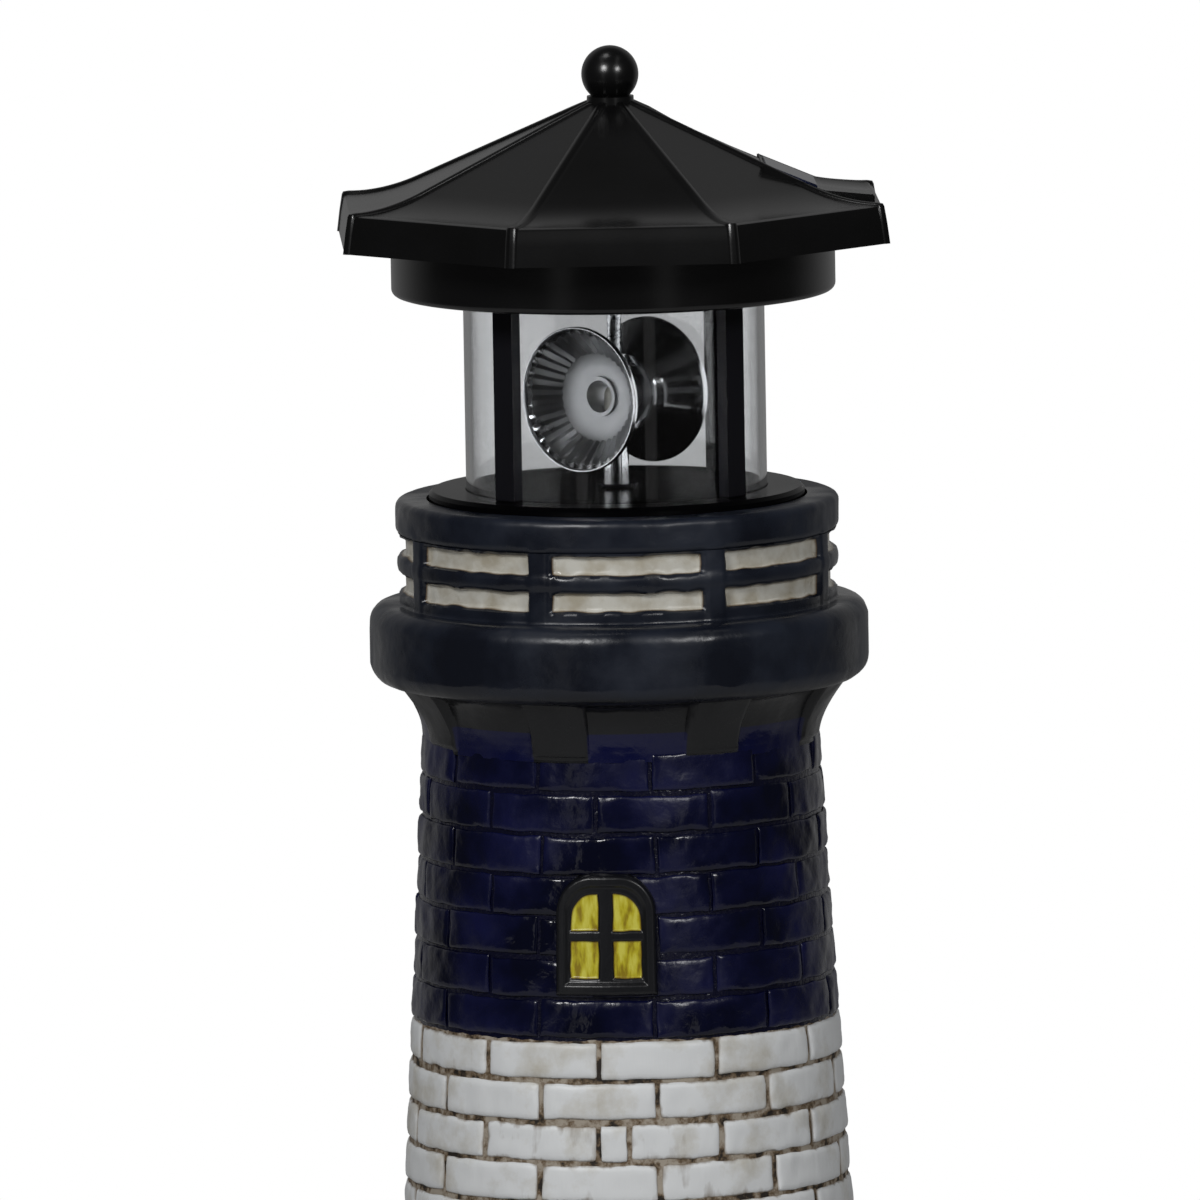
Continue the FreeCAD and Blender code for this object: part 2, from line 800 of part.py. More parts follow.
def spur_gear(label, teeth_alias, bore, centre, turn):
    """A spur gear: a blank at root size, then one tapered tooth repeated round it."""
    teeth = getattr(d, teeth_alias)
    pitch = teeth * d.gear_module / 2
    root_radius = pitch - d.gear_module * 1.25
    tip = pitch + d.gear_module * 0.8
    half_pitch = d.gear_module * d.tooth_share * (math.pi / 2)
    half_root = half_pitch * 1.35
    half_tip = half_pitch * 0.6
    body = new_body(label)
    body.setExpression("Placement.Base.x", size(centre).text)
    disc(body, "Pad", gear_low, d.gear_thickness, (0, 0, root_radius))
    tooth_sketch = new_sketch(body, "XY_Plane", gear_low, turn=turn)
    outline(
        tooth_sketch,
        [
            (root_radius - d.gear_module, -half_root),
            (root_radius, -half_root),
            (pitch, -half_pitch),
            (tip, -half_tip),
            (tip, half_tip),
            (pitch, half_pitch),
            (root_radius, half_root),
            (root_radius - d.gear_module, half_root),
        ],
    )
    tooth = extrude(body, "Pad", tooth_sketch, d.gear_thickness)
    around(body, [tooth], count(teeth_alias))
    disc(body, "Pocket", gear_low + d.gear_thickness, d.gear_thickness, (0, 0, bore))
    return body


spur_gear("drive_gear", "gear_teeth", d.sleeve_radius + d.press_fit, 0, 0)
spur_gear("motor_pinion", "pinion_teeth", d.shaft_radius + d.press_fit, gear_distance, 180 / d.pinion_teeth)

# ---------------------------------------------------------------------------------------------------
# Beacon: sleeve, hub and two bells that turn together round the fixed lamp
# ---------------------------------------------------------------------------------------------------
hub_low = beacon_axis - d.hub_height / 2
hub_high = beacon_axis + d.hub_height / 2
sleeve_low = bracket_top + d.washer_thickness
sleeve_high = hub_low + d.sleeve_socket
turned_body(
    "drive_sleeve",
    [
        (d.sleeve_bore, sleeve_low),
        (d.sleeve_radius, sleeve_low),
        (d.sleeve_radius, sleeve_high),
        (d.sleeve_bore, sleeve_high),
    ],
)
hub = new_body("beacon_hub")
hub.setExpression("Placement.Rotation.Angle", d.beacon_turn.text)
disc(hub, "Pad", hub_low, d.hub_height, (0, 0, d.hub_radius))
arm_sketch = new_sketch(hub, "XZ_Plane")
outline(
    arm_sketch,
    [
        (-d.hub_arm_reach, beacon_axis),
        (d.hub_arm_reach, beacon_axis),
        (d.hub_arm_reach, beacon_axis + d.hub_arm_radius),
        (-d.hub_arm_reach, beacon_axis + d.hub_arm_radius),
    ],
)


def about_beacon_axis(body, kind, sketch):
    """Turns an outline about the bells' own level axis, which is the sketch's first construction line."""
    reach = d.bell_depth.value * 2
    level = beacon_axis.value
    line = Part.LineSegment(FreeCAD.Vector(0, level, 0), FreeCAD.Vector(reach, level, 0))
    edge = sketch.addGeometry(line, True)
    sketch.addConstraint(Sketcher.Constraint("Horizontal", edge))
    hold(sketch, "DistanceX", -1, 1, edge, 1, at=size(0))
    hold(sketch, "DistanceX", -1, 1, edge, 2, at=d.bell_depth * 2)
    hold(sketch, "DistanceY", -1, 1, edge, 1, at=beacon_axis)
    feature = body.newObject(f"PartDesign::{kind}", f"{body.Name}_{kind.lower()}")
    feature.Profile = sketch
    feature.ReferenceAxis = (sketch, ["Axis0"])
    feature.Angle = 360
    return feature


about_beacon_axis(hub, "Revolution", arm_sketch)
light_way = new_sketch(hub, "XZ_Plane")
outline(
    light_way,
    [
        (-d.hub_arm_reach - 1, beacon_axis),
        (d.hub_arm_reach + 1, beacon_axis),
        (d.hub_arm_reach + 1, beacon_axis + d.hub_arm_bore),
        (-d.hub_arm_reach - 1, beacon_axis + d.hub_arm_bore),
    ],
)
about_beacon_axis(hub, "Groove", light_way)
hub_bore_depth = d.hub_height - d.hub_roof
disc(hub, "Pocket", hub_high - d.hub_roof, hub_bore_depth, (0, 0, d.hub_bore))


def bell(label, turn):
    """One spun bell: bowl at the hub, fluted cone and a rolled rim at the mouth."""
    body = new_body(label)
    body.setExpression("Placement.Rotation.Angle", size(turn).text)
    sketch = new_sketch(body, "XZ_Plane")
    throat = d.hub_arm_radius + d.press_fit
    bowl = d.bell_bowl_radius
    mouth = d.bell_mouth_radius - d.bell_rim
    wall = d.bell_wall
    axis = beacon_axis
    outline(
        sketch,
        [
            (d.bell_throat_depth, axis + throat),
            (d.bell_throat_depth + wall, axis + throat),
            (d.bell_bowl_depth, axis + bowl, d.bell_bowl_radius * 1.1, 1),
            (d.bell_depth - d.bell_rim, axis + mouth),
            (d.bell_depth, axis + mouth),
            (d.bell_depth, axis + d.bell_mouth_radius),
            (d.bell_depth - d.bell_rim * 2, axis + d.bell_mouth_radius),
            (d.bell_depth - d.bell_rim * 2, axis + mouth),
            (d.bell_bowl_depth - wall, axis + bowl + wall / 2),
            (d.bell_throat_depth, axis + throat + wall * 1.6, d.bell_bowl_radius * 1.2, -1),
        ],
    )
    about_beacon_axis(body, "Revolution", sketch)
    return body


bell("reflector_front", d.beacon_turn)
bell("reflector_rear", d.beacon_turn + 180)

pin_high = drum_floor - d.top_pin_gap
pin = new_body("top_pin")
disc(pin, "Pad", hub_high, pin_high - hub_high, (0, 0, d.top_pin_radius))

stalk_high = sleeve_high + d.sleeve_socket / 2
stalk = new_body("lamp_stalk")
disc(stalk, "Pad", bracket_low, stalk_high - bracket_low, (0, 0, d.stalk_radius))
turned_body(
    "lamp_led",
    [
        (0, stalk_high),
        (d.lamp_radius, stalk_high),
        (d.lamp_radius, stalk_high + d.lamp_height - d.lamp_radius),
        (0, stalk_high + d.lamp_height, d.lamp_radius, 1),
    ],
)

# ---------------------------------------------------------------------------------------------------
# Battery, contacts, board, switch and battery door
# ---------------------------------------------------------------------------------------------------
cell = new_body("battery_cell")
cell_start = bay_end - d.contact_thickness
cell_sketch = new_sketch(cell, "XZ_Plane", lift=-cell_start + d.cell_nub_length)
circle(cell_sketch, -d.cell_offset, cell_axis, d.cell_radius)
extrude(cell, "Pad", cell_sketch, d.cell_length - d.cell_nub_length)
nub_sketch = new_sketch(cell, "XZ_Plane", lift=-cell_start)
circle(nub_sketch, -d.cell_offset, cell_axis, d.cell_nub_radius)
extrude(cell, "Pad", nub_sketch, d.cell_nub_length * 2)

contact = new_body("contact_plate")
contact_sketch = new_sketch(contact, "XY_Plane", cell_axis - d.contact_height / 2)
contact_middle = bay_end - d.contact_thickness / 2
box_outline(contact_sketch, -d.cell_offset, contact_middle, d.contact_width, d.contact_thickness)
extrude(contact, "Pad", contact_sketch, d.contact_height)

leaf = new_body("contact_leaf")
leaf_sketch = new_sketch(leaf, "YZ_Plane")
leaf_back = -bay_end
leaf_tip = leaf_back + d.contact_thickness + d.leaf_length
leaf_low = cell_axis - d.contact_height / 2
leaf_high = cell_axis + d.contact_height / 2
gauge = d.contact_thickness
outline(
    leaf_sketch,
    [
        (leaf_back, leaf_low),
        (leaf_back + gauge, leaf_low),
        (leaf_back + gauge, leaf_high - gauge * 2),
        (leaf_tip - gauge, cell_axis + gauge),
        (leaf_tip - gauge, cell_axis - gauge * 3),
        (leaf_tip, cell_axis - gauge * 3),
        (leaf_tip, cell_axis + gauge),
        (leaf_back + gauge, leaf_high),
        (leaf_back, leaf_high),
    ],
)
extrude(leaf, "Pad", leaf_sketch, d.contact_width, both=True)
leaf.setExpression("Placement.Base.x", (-d.cell_offset).text)

board = new_body("circuit_board")
board_sketch = new_sketch(board, "XY_Plane", board_low)
box_outline(board_sketch, board_middle, 0, d.board_width, d.board_length)
extrude(board, "Pad", board_sketch, d.board_thickness)
board_top = board_low + d.board_thickness
disc(board, "Pocket", board_top, d.board_thickness, *[(x, y, screw_clear) for x, y in screwed_posts])

switch_body = new_body("switch_body")
switch_sketch = new_sketch(switch_body, "XY_Plane", floor_top)
box_outline(switch_sketch, d.switch_x, d.switch_y, d.switch_length, d.switch_width)
extrude(switch_body, "Pad", switch_sketch, d.switch_height)
knob_room = new_sketch(switch_body, "XY_Plane", floor_top + d.knob_entry + d.knob_fit)
box_outline(knob_room, d.switch_x, d.switch_y, knob_slot_length, knob_slot_width)
extrude(switch_body, "Pocket", knob_room, d.knob_entry + d.knob_fit)

knob = new_body("switch_knob")
knob_sketch = new_sketch(knob, "XY_Plane", cup_low - d.knob_reach)
box_outline(knob_sketch, d.switch_x - d.switch_travel / 2, d.switch_y, d.knob_length, d.knob_width)
extrude(knob, "Pad", knob_sketch, d.knob_reach + d.cup_wall + d.knob_entry)

door = new_body("battery_door")
door_sketch = new_sketch(door, "XY_Plane", cup_low)
door_span = bay_length - d.door_fit * 3
box_outline(door_sketch, door_barrel / 2 - d.cell_offset, 0, d.door_width - door_barrel, door_span)
extrude(door, "Pad", door_sketch, d.door_thickness)
barrel_sketch = new_sketch(door, "XZ_Plane", lift=-door_span / 2)
circle(barrel_sketch, *door_pivot, door_barrel)
extrude(door, "Pad", barrel_sketch, door_span)
hinge_pins = new_sketch(door, "XZ_Plane", lift=-pin_length / 2)
circle(hinge_pins, *door_pivot, d.door_pin_radius)
extrude(door, "Pad", hinge_pins, pin_length)

# ---------------------------------------------------------------------------------------------------
# Canopy drum, roof, finial and solar tray
# ---------------------------------------------------------------------------------------------------
round_drum = d.drum_edge_radius
drum_high = eave_top - d.drum_top_gap
drum_inside = drum_radius - d.drum_wall
drum = turned_body(
    "canopy_drum",
    [
        (d.top_pin_radius + d.running_fit, drum_low - d.top_boss_drop),
        (d.top_boss_radius, drum_low - d.top_boss_drop),
        (d.top_boss_radius, drum_low),
        (groove_inside, drum_low),
        (groove_inside, drum_low + d.tube_groove),
        (groove_outside, drum_low + d.tube_groove),
        (groove_outside, drum_low),
        (drum_radius - round_drum, drum_low),
        (drum_radius, drum_low + round_drum, round_drum, 1),
        (drum_radius, drum_high),
        (drum_inside, drum_high),
        (drum_inside, drum_floor),
        (d.top_boss_radius, drum_floor),
        (d.top_boss_radius, drum_floor + d.bite),
        (0, drum_floor + d.bite),
        (0, drum_floor),
        (d.top_pin_radius + d.running_fit, drum_floor),
    ],
)
boss_turn = d.roof_turn + 180 / d.roof_sides
boss_ring = groove_outside + d.boss_ring_gap
screw_turns = [boss_turn + 360 / d.post_count * turn for turn in range(count("post_count"))]
roof_holes = [(boss_ring * cosine(angle), boss_ring * sine(angle)) for angle in screw_turns]
roof_bosses = [(x, y, d.boss_radius) for x, y in roof_holes]
boss_low = drum_floor - d.drum_wall / 4
disc(drum, "Pad", boss_low, roof_low - boss_low, *roof_bosses)
peg_slots = new_sketch(drum, "XY_Plane", drum_low + d.peg_depth + d.tube_fit, turn=-90 - d.post_turn)
slot_size = (d.post_depth + d.tube_fit * 2, d.post_width + d.tube_fit * 2)
box_outline(peg_slots, post_middle, 0, *slot_size)
peg_slot = extrude(drum, "Pocket", peg_slots, d.peg_depth + d.tube_fit)
around(drum, [peg_slot], count("post_count"))
disc(drum, "Pocket", roof_low, roof_low - drum_low, *[(x, y, screw_clear) for x, y in roof_holes])
disc(drum, "Pocket", drum_low + head_height, head_height, *[(x, y, head_room) for x, y in roof_holes])
screws("roof_screws", drum_low, d.screw_length, roof_holes)


def roof_ridge():
    """Ridge line of the roof from the fascia's foot to the crown: (radius, height)."""
    eave_radius = d.roof_radius - d.eave_inset
    flare_radius = d.roof_radius - d.flare_inset
    return [
        (d.roof_radius, roof_low),
        (d.roof_radius - d.fascia_flare, eave_top),
        (eave_radius, eave_top + d.lip_rise),
        (flare_radius, eave_top + d.lip_rise + d.eave_rise),
        (slope_end_radius, slope_end),
        (d.crown_radius, crown_top),
    ]


def eight_sided(body, radius, height):
    """A level polygon with one corner on each ridge."""
    sketch = new_sketch(body, "XY_Plane", height, turn=d.roof_turn)
    sides = count("roof_sides")
    corners = [360.0 / sides * corner for corner in range(sides)]
    outline(sketch, [(radius * cosine(angle), radius * sine(angle)) for angle in corners])
    return sketch


def loft(body, kind, sections):
    feature = body.newObject(f"PartDesign::{kind}", f"{body.Name}_{kind.lower()}")
    feature.Profile = sections[0]
    feature.Sections = sections[1:]
    feature.Ruled = True
    return feature


roof = new_body("roof_shell")
ridge = roof_ridge()
loft(roof, "AdditiveLoft", [eight_sided(roof, radius, height) for radius, height in ridge])
wall = d.roof_wall
hollow = [(d.roof_radius - wall, roof_low)]
hollow += [(radius - wall * 1.1, height - wall) for radius, height in ridge[1:2]]
hollow += [(radius - wall * 0.2, height - wall) for radius, height in ridge[2:5]]
hollow += [(d.crown_radius, crown_top - wall * 2.4)]
loft(roof, "SubtractiveLoft", [eight_sided(roof, radius, height) for radius, height in hollow])

rib_sketch = new_sketch(roof, "XZ_Plane", turn=d.roof_turn)
proud = d.rib_height
sunk = wall / 2
crest = [(radius, height + proud) for radius, height in reversed(ridge[2:5])]
keel = [(radius, height - sunk) for radius, height in ridge[2:5]]
rib_start = d.finial_neck_radius + 0.4
rib_start_height = slope_end + (slope_end_radius - rib_start) * tangent(d.roof_slope)
lip_radius = d.roof_radius - d.fascia_flare
outline(
    rib_sketch,
    [
        (rib_start, rib_start_height - sunk),
        (rib_start, rib_start_height + proud),
        *crest,
        (lip_radius + 0.2, eave_top + proud),
        (lip_radius + 0.7, eave_top + proud / 3),
        (d.roof_radius + 0.3, roof_low),
        (d.roof_radius - sunk, roof_low),
        (lip_radius - sunk, eave_top - sunk),
        *keel,
    ],
)
rib = extrude(roof, "Pad", rib_sketch, d.rib_width, both=True)
around(roof, [rib], count("roof_sides"))
boss_high = slope_end - wall / 8
disc(roof, "Pad", roof_low, boss_high - roof_low, *roof_bosses)
screw_top = drum_low + head_height + d.screw_length
disc(roof, "Pocket", screw_top, screw_top - roof_low, *[(x, y, pilot) for x, y in roof_holes])
peg_hole = d.finial_peg_radius + d.press_fit
disc(roof, "Pocket", crown_top, d.finial_peg_length + wall, (0, 0, peg_hole))

ball_drop = root(d.finial_radius * d.finial_radius - d.finial_neck_radius * d.finial_neck_radius)
neck_top = crown_top + d.finial_neck_height
turned_body(
    "finial_ball",
    [
        (0, crown_top - d.finial_peg_length),
        (d.finial_peg_radius, crown_top - d.finial_peg_length),
        (d.finial_peg_radius, crown_top),
        (d.finial_neck_radius, crown_top),
        (d.finial_neck_radius, neck_top),
        (0, neck_top + ball_drop + d.finial_radius, d.finial_radius, 1),
    ],
)


# Solar tray on the right-hand face, between two ribs, and the cell let into its slope
tray_turn = d.roof_turn - 180 / d.roof_sides
tray = new_body("solar_tray")
tray_sketch = new_sketch(tray, "XZ_Plane", turn=tray_turn)
face = [(radius * apothem, height) for radius, height in ridge]
tray_end = d.roof_radius * apothem - d.tray_setback
tray_bend = tray_end - d.tray_flat_length
tray_start = tray_end - d.tray_length
tray_start_height = slope_end + (slope_end_radius - tray_start / apothem) * tangent(d.roof_slope)
tray_flat = eave_top + d.tray_flat_height
tray_run = (tray_end - face[2][0]) / (face[1][0] - face[2][0])
tray_end_height = face[2][1] - (face[2][1] - face[1][1]) * tray_run
tray_high = tray_start_height + d.tray_relief
tray_bend_height = tray_flat + d.tray_relief
outline(
    tray_sketch,
    [
        (tray_start, tray_start_height),
        face[4],
        face[3],
        face[2],
        (tray_end, tray_end_height),
        (tray_end, tray_flat),
        (tray_bend + (tray_end - tray_bend) / 2, tray_flat),
        (tray_bend, tray_bend_height),
        (tray_start, tray_high),
    ],
)
extrude(tray, "Pad", tray_sketch, d.roof_radius, both=True)
half_angle = tangent(180 / d.roof_sides)
trim = new_sketch(tray, "XY_Plane", tray_high + d.bite, turn=tray_turn)
for side in (-1, 1):
    near = (tray_start * half_angle - d.tray_margin) * side
    far = (tray_end * half_angle - d.tray_margin) * side
    reach = d.roof_radius * side
    corners = [
        (tray_start - d.bite, near - half_angle * side),
        (tray_start - d.bite, reach),
        (tray_end + d.bite, reach),
        (tray_end + d.bite, far + half_angle * side),
    ]
    outline(trim, corners)
extrude(tray, "Pocket", trim, tray_high + d.bite - roof_low)


def solar_outline(sketch, spare):
    """A thin slanted rectangle let into the tray's slope, from its face down."""
    run = tray_bend - tray_start
    fall = tray_high - tray_bend_height
    slant = root(run * run + fall * fall)
    along = (run / slant, -(fall / slant))
    down = (-(fall / slant), -(run / slant))
    start = (slant - d.solar_length) / 2 - spare
    end = start + d.solar_length + spare * 2
    corners = []
    for distance, depth in ((start, 0), (end, 0), (end, d.solar_thickness), (start, d.solar_thickness)):
        corners.append(
            (
                tray_start + along[0] * distance + down[0] * depth,
                tray_high + along[1] * distance + down[1] * depth,
            )
        )
    outline(sketch, corners)


solar_pocket = new_sketch(tray, "XZ_Plane", turn=tray_turn)
solar_outline(solar_pocket, d.screw_fit)
extrude(tray, "Pocket", solar_pocket, d.solar_width + d.screw_fit * 2, both=True)
solar = new_body("solar_cell")
solar_sketch = new_sketch(solar, "XZ_Plane", turn=tray_turn)
solar_outline(solar_sketch, size(0))
extrude(solar, "Pad", solar_sketch, d.solar_width, both=True)

screws("board_screws", board_top, short, screwed_posts, head_above=True)

# ---------------------------------------------------------------------------------------------------
# Check and write
# ---------------------------------------------------------------------------------------------------
doc.recompute()
for item in doc.Objects:
    faults = {"Invalid", "Error"}.intersection(item.State)
    if faults:
        raise RuntimeError(f"{item.Label}: {faults}")
os.makedirs("parts", exist_ok=True)
for node in nodes:
    shape = node.Shape
    if shape.isNull() or not shape.isValid():
        raise RuntimeError(f"{node.Label} has no sound shape")
    print(f"{node.Label:18} solids {len(shape.Solids)}  volume {shape.Volume:10.2f}")
    shape.exportStep(f"parts/{node.Label}.step")
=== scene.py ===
import math
import random

import bmesh
import bpy
from mathutils import Matrix, Vector, noise


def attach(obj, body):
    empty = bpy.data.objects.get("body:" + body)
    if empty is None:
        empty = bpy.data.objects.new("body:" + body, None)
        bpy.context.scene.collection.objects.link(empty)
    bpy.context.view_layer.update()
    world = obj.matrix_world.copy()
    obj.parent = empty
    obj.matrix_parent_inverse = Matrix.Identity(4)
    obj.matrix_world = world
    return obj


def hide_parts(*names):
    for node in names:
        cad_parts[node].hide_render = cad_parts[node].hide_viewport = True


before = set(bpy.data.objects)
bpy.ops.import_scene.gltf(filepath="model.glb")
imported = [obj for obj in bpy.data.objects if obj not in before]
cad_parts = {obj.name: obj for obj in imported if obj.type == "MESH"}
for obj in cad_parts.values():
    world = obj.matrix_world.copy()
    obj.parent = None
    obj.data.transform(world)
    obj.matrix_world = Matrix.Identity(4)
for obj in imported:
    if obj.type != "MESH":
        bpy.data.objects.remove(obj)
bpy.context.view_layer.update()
scene = bpy.context.scene
scene.view_settings.view_transform = "Standard"

# ----------------------------------------------------------------------
# Camera: a long lens five metres off, seven degrees above level, rolled one degree as in the picture,
# which takes in 252 mm of the ornament's upper part. The axis stands a little right of the centre.
# ----------------------------------------------------------------------
camera_distance = 5.0
picture_width = 0.252
camera_height = math.radians(7.0)
camera_roll = math.radians(-0.96)
picture_centre = Vector((-0.0039, 0.0, 0.2380))


def stand(name, data):
    """Puts new data in the scene as an object at the origin."""
    made = bpy.data.objects.new(name, data)
    scene.collection.objects.link(made)
    return made


lens = bpy.data.cameras.new("picture_camera")
lens.lens = lens.sensor_width * camera_distance / picture_width
lens.clip_end = 40.0
camera = stand("picture_camera", lens)
towards_camera = Vector((0.0, -math.cos(camera_height), math.sin(camera_height)))
turn = Matrix.Rotation(math.pi / 2 - camera_height, 4, "X") @ Matrix.Rotation(camera_roll, 4, "Z")
camera.matrix_world = Matrix.Translation(picture_centre + towards_camera * camera_distance) @ turn
scene.camera = camera

# ----------------------------------------------------------------------
# Studio: white paper all round, a pale floor, one broad lamp high on the left in front, a weaker one on
# the right and a small one above. The paper shows white to the camera and dims what it lights.
# ----------------------------------------------------------------------


def linear(colour):
    """The linear colour of an sRGB hex value."""
    values = [int(colour[place : place + 2], 16) / 255 for place in (1, 3, 5)]
    return [v / 12.92 if v <= 0.04045 else ((v + 0.055) / 1.055) ** 2.4 for v in values] + [1.0]


def fill(node, inputs):
    """Gives each input a value, or links it from an output; a node stands for its first output."""
    for name, value in inputs.items():
        if isinstance(value, bpy.types.Node):
            value = value.outputs[0]
        if isinstance(value, bpy.types.NodeSocket):
            node.id_data.links.new(value, node.inputs[name])
        else:
            node.inputs[name].default_value = value


def add(tree, kind, inputs=None, stops=None, **settings):
    """Adds a node, a shader node's kind without its ShaderNode, with its settings and inputs, and a colour
    ramp's stops as (position, hex colour)."""
    made = tree.nodes.new(kind if "Node" in kind else "ShaderNode" + kind)
    for name, value in settings.items():
        setattr(made, name, value)
    fill(made, inputs or {})
    if stops:
        ramp = made.color_ramp.elements
        for end in (0, -1):
            ramp[end].position = stops[end][0]
            ramp[end].color = linear(stops[end][1])
        for position, colour in stops[1:-1]:
            ramp.new(position).color = linear(colour)
    return made


world = bpy.data.worlds.new("white_paper")
world.use_nodes = True
scene.world = world
paper = world.node_tree
paper.nodes.clear()
rays = add(paper, "LightPath").outputs
direction = add(paper, "TexCoord").outputs["Generated"]
towards = add(paper, "SeparateXYZ", {0: direction}).outputs

# White to the camera, also straight through the clear tube
direct = add(paper, "Math", {0: rays["Glossy Depth"], 1: 0.5}, operation="LESS_THAN")
through = add(paper, "Math", {0: rays["Is Transmission Ray"], 1: direct}, operation="MULTIPLY")
seen = add(paper, "Math", {0: rays["Is Camera Ray"], 1: through}, operation="MAXIMUM")

# What gloss mirrors: dimmed paper behind the ornament, and two upright strips of it in front
behind = add(paper, "MapRange", {"Value": towards["Y"], "From Min": 0.30, "From Max": 0.75})
low_down = add(
    paper,
    "MapRange",
    {"Value": towards["Z"], "From Min": 0.55, "From Max": 0.82, "To Min": 1.0, "To Max": 0.08},
)
backdrop = add(paper, "Math", {0: behind, 1: low_down}, operation="MULTIPLY")
horizon = add(paper, "MapRange", {"Value": towards["Z"], "From Min": 0.10, "From Max": 0.30, "To Min": 1.1})
raised = add(paper, "Math", {0: backdrop, 1: horizon}, operation="MULTIPLY")
aside = add(paper, "Math", {0: towards["X"]}, operation="ABSOLUTE")
strip = add(paper, "Math", {0: aside, 1: 0.45, 2: 0.07}, operation="COMPARE")
in_front = add(paper, "Math", {0: towards["Y"], 1: 0.0}, operation="LESS_THAN")
raised_strip = add(
    paper, "MapRange", {"Value": towards["Z"], "From Min": -0.10, "From Max": -0.06, "To Min": 0.45}
)
front_strip = add(paper, "Math", {0: strip, 1: in_front}, operation="MULTIPLY")
strips = add(paper, "Math", {0: front_strip, 1: raised_strip}, operation="MULTIPLY")
dim_strips = add(paper, "Math", {0: strips, 1: 0.35, 2: 0.04}, operation="MULTIPLY_ADD")
mirrored = add(paper, "Math", {0: raised, 1: 0.17, 2: dim_strips}, operation="MULTIPLY_ADD")
in_mirror = add(paper, "Math", {0: rays["Glossy Depth"], 1: 0.5}, operation="GREATER_THAN")

# What the bells mirror from inside the tube, once a ray has crossed its wall twice: a card on each side
dim, bright = 0.012, 4.5
left_card, right_card = (
    add(
        paper,
        "MapRange",
        {"Value": towards["X"], "From Min": inner, "From Max": outer, "To Min": dim, "To Max": bright},
    )
    for inner, outer in ((-0.45, -0.75), (0.32, 0.85))
)
sides = add(paper, "Math", {0: left_card, 1: right_card}, operation="MAXIMUM")
tall = add(paper, "Math", {0: towards["Z"]}, operation="ABSOLUTE")
level = add(
    paper, "MapRange", {"Value": tall, "From Min": 0.30, "From Max": 0.60, "To Min": 1.0, "To Max": 0.15}
)
cards = add(paper, "Math", {0: sides, 1: level}, operation="MULTIPLY")
inside = add(paper, "Math", {0: rays["Transmission Depth"], 1: 3.5}, operation="GREATER_THAN")
around = add(paper, "Mix", {0: inside, 2: mirrored, 3: cards})
glossy = add(paper, "Math", {0: in_mirror, 1: around}, operation="MULTIPLY")

# A little light from all round on matt paint
matt = add(paper, "Math", {0: rays["Is Diffuse Ray"], 1: 0.12}, operation="MULTIPLY")
shown = add(paper, "Math", {0: seen, 1: glossy}, operation="MAXIMUM")
lit = add(paper, "Math", {0: shown, 1: matt}, operation="MAXIMUM")
surround = add(paper, "Background", {"Color": (1, 1, 1, 1), "Strength": lit})
add(paper, "OutputWorld", {"Surface": surround})

for name, place, size, power in (
    ("broad_lamp", (-0.75, -1.50, 1.25), 0.50, 17.0),
    ("right_lamp", (0.95, -1.45, 1.10), 0.40, 9.0),
    ("top_lamp", (-0.30, -0.10, 1.80), 0.40, 1.5),
):
    lamp = bpy.data.lights.new(name, "AREA")
    lamp.size = size
    lamp.energy = power
    holder = stand(name, lamp)
    holder.location = place
    holder.rotation_euler = (Vector((0, 0, 0.22)) - Vector(place)).to_track_quat("-Z", "Y").to_euler()


def new_material(name):
    """A material with a Principled shader on its output, and the Object coordinates for its patterns."""
    made = bpy.data.materials.new(name)
    made.use_nodes = True
    made.node_tree.nodes.clear()
    shader = add(made.node_tree, "BsdfPrincipled")
    add(made.node_tree, "OutputMaterial", {"Surface": shader})
    return made, made.node_tree, shader, add(made.node_tree, "TexCoord").outputs["Object"]


def mesh_object(name, vertices, faces, material, crease=30.0):
    """A mesh at the origin, normals outwards, smooth but for creases sharper than an angle."""
    mesh = bpy.data.meshes.new(name)
    mesh.from_pydata(vertices, [], faces)
    shape = bmesh.new()
    shape.from_mesh(mesh)
    bmesh.ops.recalc_face_normals(shape, faces=shape.faces)
    shape.to_mesh(mesh)
    shape.free()
    mesh.shade_smooth()
    mesh.set_sharp_from_angle(angle=math.radians(crease))
    mesh.materials.append(material)
    return stand(name, mesh)


floor_paper, tree, shader, where = new_material("matt_floor_paper")
grain = add(tree, "TexNoise", {"Vector": where, "Scale": 60.0})
tone = add(tree, "MapRange", {"Value": grain, "To Min": 0.44, "To Max": 0.48})
paper_tone = add(tree, "CombineColor", {0: tone, 1: tone, 2: tone})
floor_rays = add(tree, "LightPath").outputs
away = add(tree, "VectorMath", {0: where}, operation="LENGTH")
far = add(
    tree,
    "MapRange",
    {"Value": away.outputs["Value"], "From Min": 0.08, "From Max": 0.45, "To Min": 0.50, "To Max": 1.0},
)
eye = add(
    tree, "Math", {0: floor_rays["Is Camera Ray"], 1: floor_rays["Is Transmission Ray"]}, operation="MAXIMUM"
)
glow = add(tree, "Math", {0: eye, 1: far}, operation="MULTIPLY")
fill(
    shader,
    {"Base Color": paper_tone, "Roughness": 0.9, "Emission Color": (1, 1, 1, 1), "Emission Strength": glow},
)
half_floor = 0.6
corners = [(x * half_floor, y * half_floor, 0) for x, y in ((-1, -1), (1, -1), (1, 1), (-1, 1))]
floor = mesh_object("floor", corners, [(0, 1, 2, 3)], floor_paper)
floor.location.z = -0.0004

# ----------------------------------------------------------------------
# Tower core: the hollow cast resin body. Its outside is the mortar between the bricks, sunk under their
# faces, with the stepped foot below. Cast in one piece, painted by hand and stained in the joints.
# ----------------------------------------------------------------------
MM = 0.001
foot_radius = 51.7
top_radius = 41.5
foot_height = 30.4
wall_height = 180.6
course_height = 8.6
joint_depth = 0.5
corbel_low = 208.8
white_top = 150.8
white_low = 90.6


